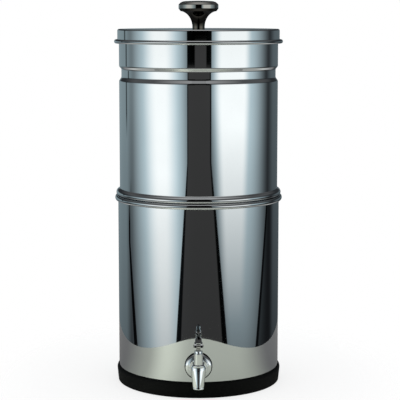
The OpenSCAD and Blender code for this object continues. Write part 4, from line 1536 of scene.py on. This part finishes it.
@dataclass
class Studio:
    """Studio with a softbox behind a diffuser on each side, dim walls, a pale table and the camera.

    Attributes:
        camera_at: Place of the camera, in metres.
        camera_tilt: Tilt of the camera in degrees, 90 for a level one.
        lens_mm: Focal length.
        softboxes: Light panels that the flags stand in front of.
        flags: Dark panels.
        fills: Dim cards and cloths in front of the flags.
        overhead: Softbox that lights matt surfaces and is kept out of the metal's reflections.
        table_axes: Half axes of the table, in metres.
        table_segments: Sides of its edge.
        table_fade: Shares of the table's half axes between which it fades into the background.
        table_shade: Brightness of the table in a reflection, before the painted pools of light on it.
        table_paper: Colour of the table as the camera sees it, where the object shades it.
        table_lift: Light that the camera adds to that.
        pools: Pools of light painted into the table's colour, by azimuth round the object.
    """

    camera_at: tuple[float, float, float] = (0.002, -1.900, 0.496)
    camera_tilt: float = 82.5
    lens_mm: float = 127.3
    softboxes: tuple[Panel, ...] = (
        Panel("left diffuser", 1.12, (-130, -72), (-36, -4), (-22, -6.5), (-3, 24), (-1.4, 0.3),
              hex_colour="#DAF1F9"),
        Panel("left softbox", 0.75, (-90, -62), (-50, -27), (-18, -6.5), (-3, 24), (-1.2, 0.3),
              hex_colour="#FFE7D8"),
        Panel("right diffuser", 1.12, (7, 31), (68, 124), (-16.5, -4.5), (-3, 24), (-1.8, -0.6),
              hex_colour="#DAF1F9"),
        Panel("right softbox", 0.75, (20, 34), (68, 82), (-12.5, -4.5), (-3, 24), (-1.2, -1.2),
              hex_colour="#FFE7D8"),
        Panel("left wall", 0.36, (-212, -152), (-128, -108), (-20, -4), (2, 9), hex_colour="#DAF6FF"),
        Panel("right wall", 0.15, (117, 140), (199, 200), (-16, -2), (2, 9), hex_colour="#CFEAF4"),
        Panel("ceiling", 0.08, **ALL_ROUND, low=(18, 32)),
        Panel("ceiling panel", 0.6, **ALL_ROUND, low=(48, 80)),
        Panel("room", 0.04, **ALL_ROUND, hex_colour="#E6F2FF"),
    )
    flags: tuple[Panel, ...] = (
        Panel("front flag", 0.99, (-16.5, -15.5), (17.8, 18.9), high=(40, 70), lean=(2.2, 3.2), turning=-6.0),
        Panel("left gap", 0.97, (-119, -118), (-114.5, -113.5), high=(-8.4, -6.6), lean=(-3.0, 3.8),
              turning=-9.2),
        Panel("left upper gap", 0.75, (-130.5, -129.5), (-126.5, -125), low=(-5, -4), high=(10, 24)),
        Panel("right gap", 0.1, (116.5, 118), (121, 124), (-7.7, -7.3), (10, 24)),
        Panel("lower right gap", 0.65, (111, 112.5), (121, 135), high=(-7.7, -7.3), lean=(3.9, 0.0),
              turning=-7.8),
        Panel("lower right line", 0.92, (111, 112.5), (114, 117), high=(-7.7, -7.3), lean=(3.9, -3.6),
              turning=-7.8),
    )
    fills: tuple[Panel, ...] = (
        Panel("front card", 0.062, (-15.5, -14), (15.5, 17.5), (-50, -3), (-2.3, -2.0), (1.4, 2.4), -6.0),
        Panel("upper card", 0.062, (-6, -4), (10, 12), (-2.3, -2.0), (-1.3, -1.0)),
        Panel("floor behind, left", 0.3, (-200, -199), (-150, -126), (-50, -49), (-22, -14)),
        Panel("floor behind, right", 0.3, (126, 150), (199, 200), (-50, -49), (-22, -14)),
        Panel("floor cloth", 0.6, **ALL_ROUND, high=(-34, -24), hex_colour="#F2F5F0"),
    )
    overhead: Panel = Panel("overhead softbox", 0.75, **ALL_ROUND, low=(18, 45))
    table_axes: Point = (0.335, 0.45)
    table_segments: int = 128
    table_fade: Point = (0.6, 0.97)
    table_shade: float = 0.3
    table_paper: str = "#A8A8A8"
    table_lift: float = 0.7
    # Painted light: pools that brighten the table's colour, not lamps.
    pools: tuple[Panel, ...] = (
        Panel("table", 0.53, (-110, -40), (45, 100), hex_colour="#F6FFE8"),
        Panel("left pool", 0.47, (-64, -38), (-38, -8), hex_colour="#FAFFEC"),
    )

    def build(self) -> None:
        """Places the camera, the studio's light and the table."""
        scene = bpy.context.scene
        scene.view_settings.view_transform = "Standard"
        camera = bpy.data.objects.new("camera", bpy.data.cameras.new("camera"))
        camera.data.lens = self.lens_mm
        camera.location = self.camera_at
        camera.rotation_euler = (math.radians(self.camera_tilt), 0, 0)
        scene.collection.objects.link(camera)
        scene.camera = camera
        self.light()
        self.table()

    def azimuth(self, tree: bpy.types.NodeTree, way: bpy.types.NodeSocket) -> bpy.types.NodeSocket:
        """Builds a direction's azimuth.

        Args:
            tree: The tree that gets the nodes.
            way: The direction.

        Returns:
            The azimuth in degrees, 0 towards the camera and growing to the right.
        """
        parts = add_node(tree, "ShaderNodeSeparateXYZ", Vector=way).outputs
        towards = add_node(tree, "ShaderNodeMath", {"operation": "MULTIPLY"}, i0=parts["Y"], i1=-1.0)
        turn = add_node(tree, "ShaderNodeMath", {"operation": "ARCTAN2"}, i0=parts["X"],
                        i1=towards.outputs[0])
        return add_node(tree, "ShaderNodeMath", {"operation": "DEGREES"}, i0=turn.outputs[0]).outputs[0]

    def mask(self, tree: bpy.types.NodeTree, panel: Panel, azimuth: bpy.types.NodeSocket,
             elevation: bpy.types.NodeSocket | None = None) -> bpy.types.NodeSocket:
        """Builds a panel's shape.

        Args:
            tree: The tree that gets the nodes.
            panel: The panel.
            azimuth: Azimuth of the ray.
            elevation: Elevation of the ray, or None where only the azimuth counts.

        Returns:
            1 on the panel and 0 off it.
        """
        sides = [azimuth, azimuth]
        if any(panel.lean):
            below = add_node(tree, "ShaderNodeMath", {"operation": "SUBTRACT"}, i0=panel.turning,
                             i1=elevation)
            drop = add_node(tree, "ShaderNodeMath", {"operation": "MAXIMUM"}, i0=below.outputs[0], i1=0.0)
            sides = [add_node(tree, "ShaderNodeMath", {"operation": "MULTIPLY_ADD"}, i0=drop.outputs[0],
                              i1=lean, i2=azimuth).outputs[0] for lean in (panel.lean[0], -panel.lean[1])]
        edges = [(sides[0], panel.left, "SMOOTHSTEP", 0.0), (sides[1], panel.right, "SMOOTHSTEP", 1.0)]
        if elevation:
            edges += [(elevation, panel.low, "LINEAR", 0.0), (elevation, panel.high, "LINEAR", 1.0)]
        mask = None
        for angle, (start, end), way, before in edges:
            edge = add_node(tree, "ShaderNodeMapRange", {"interpolation_type": way, "label": panel.name},
                            Value=angle, From_Min=start, From_Max=end, To_Min=before,
                            To_Max=1.0 - before).outputs[0]
            if mask is not None:
                edge = add_node(tree, "ShaderNodeMath", {"operation": "MULTIPLY"}, i0=mask,
                                i1=edge).outputs[0]
            mask = edge
        return mask

    def light(self) -> None:
        """Builds the world: the panels for the object, plain white for the camera."""
        world = bpy.data.worlds.new("studio")
        bpy.context.scene.world = world
        world.use_nodes = True
        tree = world.node_tree
        tree.nodes.clear()
        ray = add_node(tree, "ShaderNodeTexCoord").outputs["Generated"]
        unit = add_node(tree, "ShaderNodeVectorMath", {"operation": "NORMALIZE"}, i0=ray)
        parts = add_node(tree, "ShaderNodeSeparateXYZ", Vector=unit.outputs[0]).outputs
        azimuth = self.azimuth(tree, ray)
        rise = add_node(tree, "ShaderNodeMath", {"operation": "ARCSINE"}, i0=parts["Z"])
        elevation = add_node(tree, "ShaderNodeMath", {"operation": "DEGREES"}, i0=rise.outputs[0]).outputs[0]
        total = None
        for panel in self.softboxes:
            total = self.add_panel(tree, total, panel, self.mask(tree, panel, azimuth, elevation))
        for flag in self.flags:
            kept = add_node(tree, "ShaderNodeMath", {"operation": "MULTIPLY_ADD"},
                            i0=self.mask(tree, flag, azimuth, elevation), i1=-flag.strength, i2=1.0)
            total = add_node(tree, "ShaderNodeVectorMath", {"operation": "SCALE"}, i0=total,
                             Scale=kept.outputs[0]).outputs[0]
        for panel in self.fills:
            total = self.add_panel(tree, total, panel, self.mask(tree, panel, azimuth, elevation))
        path = add_node(tree, "ShaderNodeLightPath").outputs
        unseen = add_node(tree, "ShaderNodeMath", {"operation": "SUBTRACT"}, i0=1.0, i1=path["Is Glossy Ray"])
        shape = add_node(tree, "ShaderNodeMath", {"operation": "MULTIPLY"},
                         i0=self.mask(tree, self.overhead, azimuth, elevation), i1=unseen.outputs[0])
        total = self.add_panel(tree, total, self.overhead, shape.outputs[0])
        studio = add_node(tree, "ShaderNodeBackground", Color=total)
        paper = add_node(tree, "ShaderNodeBackground", Color=(1.0, 1.0, 1.0, 1.0))
        seen = add_node(tree, "ShaderNodeMath", {"operation": "MAXIMUM"}, i0=path["Is Camera Ray"],
                        i1=path["Is Transmission Ray"])
        both = add_node(tree, "ShaderNodeMixShader", i0=seen.outputs[0], i1=studio.outputs[0],
                        i2=paper.outputs[0])
        add_node(tree, "ShaderNodeOutputWorld", Surface=both.outputs[0])

    def add_panel(self, tree: bpy.types.NodeTree, total: bpy.types.NodeSocket | None, panel: Panel,
                  shape: bpy.types.NodeSocket) -> bpy.types.NodeSocket:
        """Adds a panel's light to what is there.

        Args:
            tree: The tree of the world or of the table.
            total: The light so far, or None.
            panel: The panel.
            shape: Its mask.

        Returns:
            The light with the panel's.
        """
        tint = tuple(panel.strength * c for c in linear(panel.hex_colour)[:3])
        scaled = add_node(tree, "ShaderNodeVectorMath", {"operation": "SCALE"}, i0=tint, Scale=shape)
        light = scaled.outputs[0]
        if total is None:
            return light
        return add_node(tree, "ShaderNodeVectorMath", {"operation": "ADD"}, i0=total, i1=light).outputs[0]

    def table(self) -> None:
        """Makes the oval table, which fades into the white background at its edge."""
        material = new_material("white_table")
        tree = material.node_tree
        path = add_node(tree, "ShaderNodeLightPath").outputs
        place = add_node(tree, "ShaderNodeTexCoord").outputs["Object"]
        share = add_node(tree, "ShaderNodeVectorMath", {"operation": "DIVIDE"}, i0=place,
                         i1=(*self.table_axes, 1.0))
        reach = add_node(tree, "ShaderNodeVectorMath", {"operation": "LENGTH"}, i0=share.outputs[0])
        fade = add_node(tree, "ShaderNodeMapRange", {"interpolation_type": "SMOOTHSTEP"},
                        Value=reach.outputs["Value"], From_Min=self.table_fade[0],
                        From_Max=self.table_fade[1])
        gone = add_node(tree, "ShaderNodeMath", {"operation": "MULTIPLY"}, i0=fade.outputs[0],
                        i1=path["Is Camera Ray"])
        azimuth = self.azimuth(tree, place)
        light = add_node(tree, "ShaderNodeVectorMath", i0=(self.table_shade,) * 3).outputs[0]
        # Painted light: the pools brighten the table's colour by azimuth, for every ray but the camera's.
        for pool in self.pools:
            light = self.add_panel(tree, light, pool, self.mask(tree, pool, azimuth))
        tone = add_node(tree, "ShaderNodeMix", {"data_type": "RGBA"}, Factor=path["Is Camera Ray"],
                        i6=light, i7=linear(self.table_paper))
        matt = add_node(tree, "ShaderNodeBsdfDiffuse", Color=tone.outputs[2])
        lit = add_node(tree, "ShaderNodeMath", {"operation": "MULTIPLY"}, i0=path["Is Camera Ray"],
                       i1=self.table_lift)
        glow = add_node(tree, "ShaderNodeEmission", Strength=lit.outputs[0])
        both = add_node(tree, "ShaderNodeAddShader", i0=matt.outputs[0], i1=glow.outputs[0])
        clear = add_node(tree, "ShaderNodeBsdfTransparent")
        top = add_node(tree, "ShaderNodeMixShader", i0=gone.outputs[0], i1=both.outputs[0],
                       i2=clear.outputs[0])
        add_node(tree, "ShaderNodeOutputMaterial", Surface=top.outputs[0])
        mesh = bpy.data.meshes.new("table")
        shape = bmesh.new()
        bmesh.ops.create_circle(shape, cap_ends=True, segments=self.table_segments, radius=1.0,
                                matrix=Matrix.Diagonal((*self.table_axes, 1.0, 1.0)))
        shape.to_mesh(mesh)
        shape.free()
        mesh.materials.append(material)
        link_mesh("table", mesh)


def main() -> None:
    """Builds the studio and every sub-assembly."""
    logging.basicConfig(level=logging.INFO, format="%(name)s: %(message)s")
    Studio().build()
    shop = Workshop()
    for part in (UpperChamber(shop), LowerChamber(shop), FootRing(shop), Lid(shop), Candle(shop, "left"),
                 Candle(shop, "right"), BlankingPlugs(shop), Tap(shop)):
        part.build()


if __name__ == "__main__":
    main()
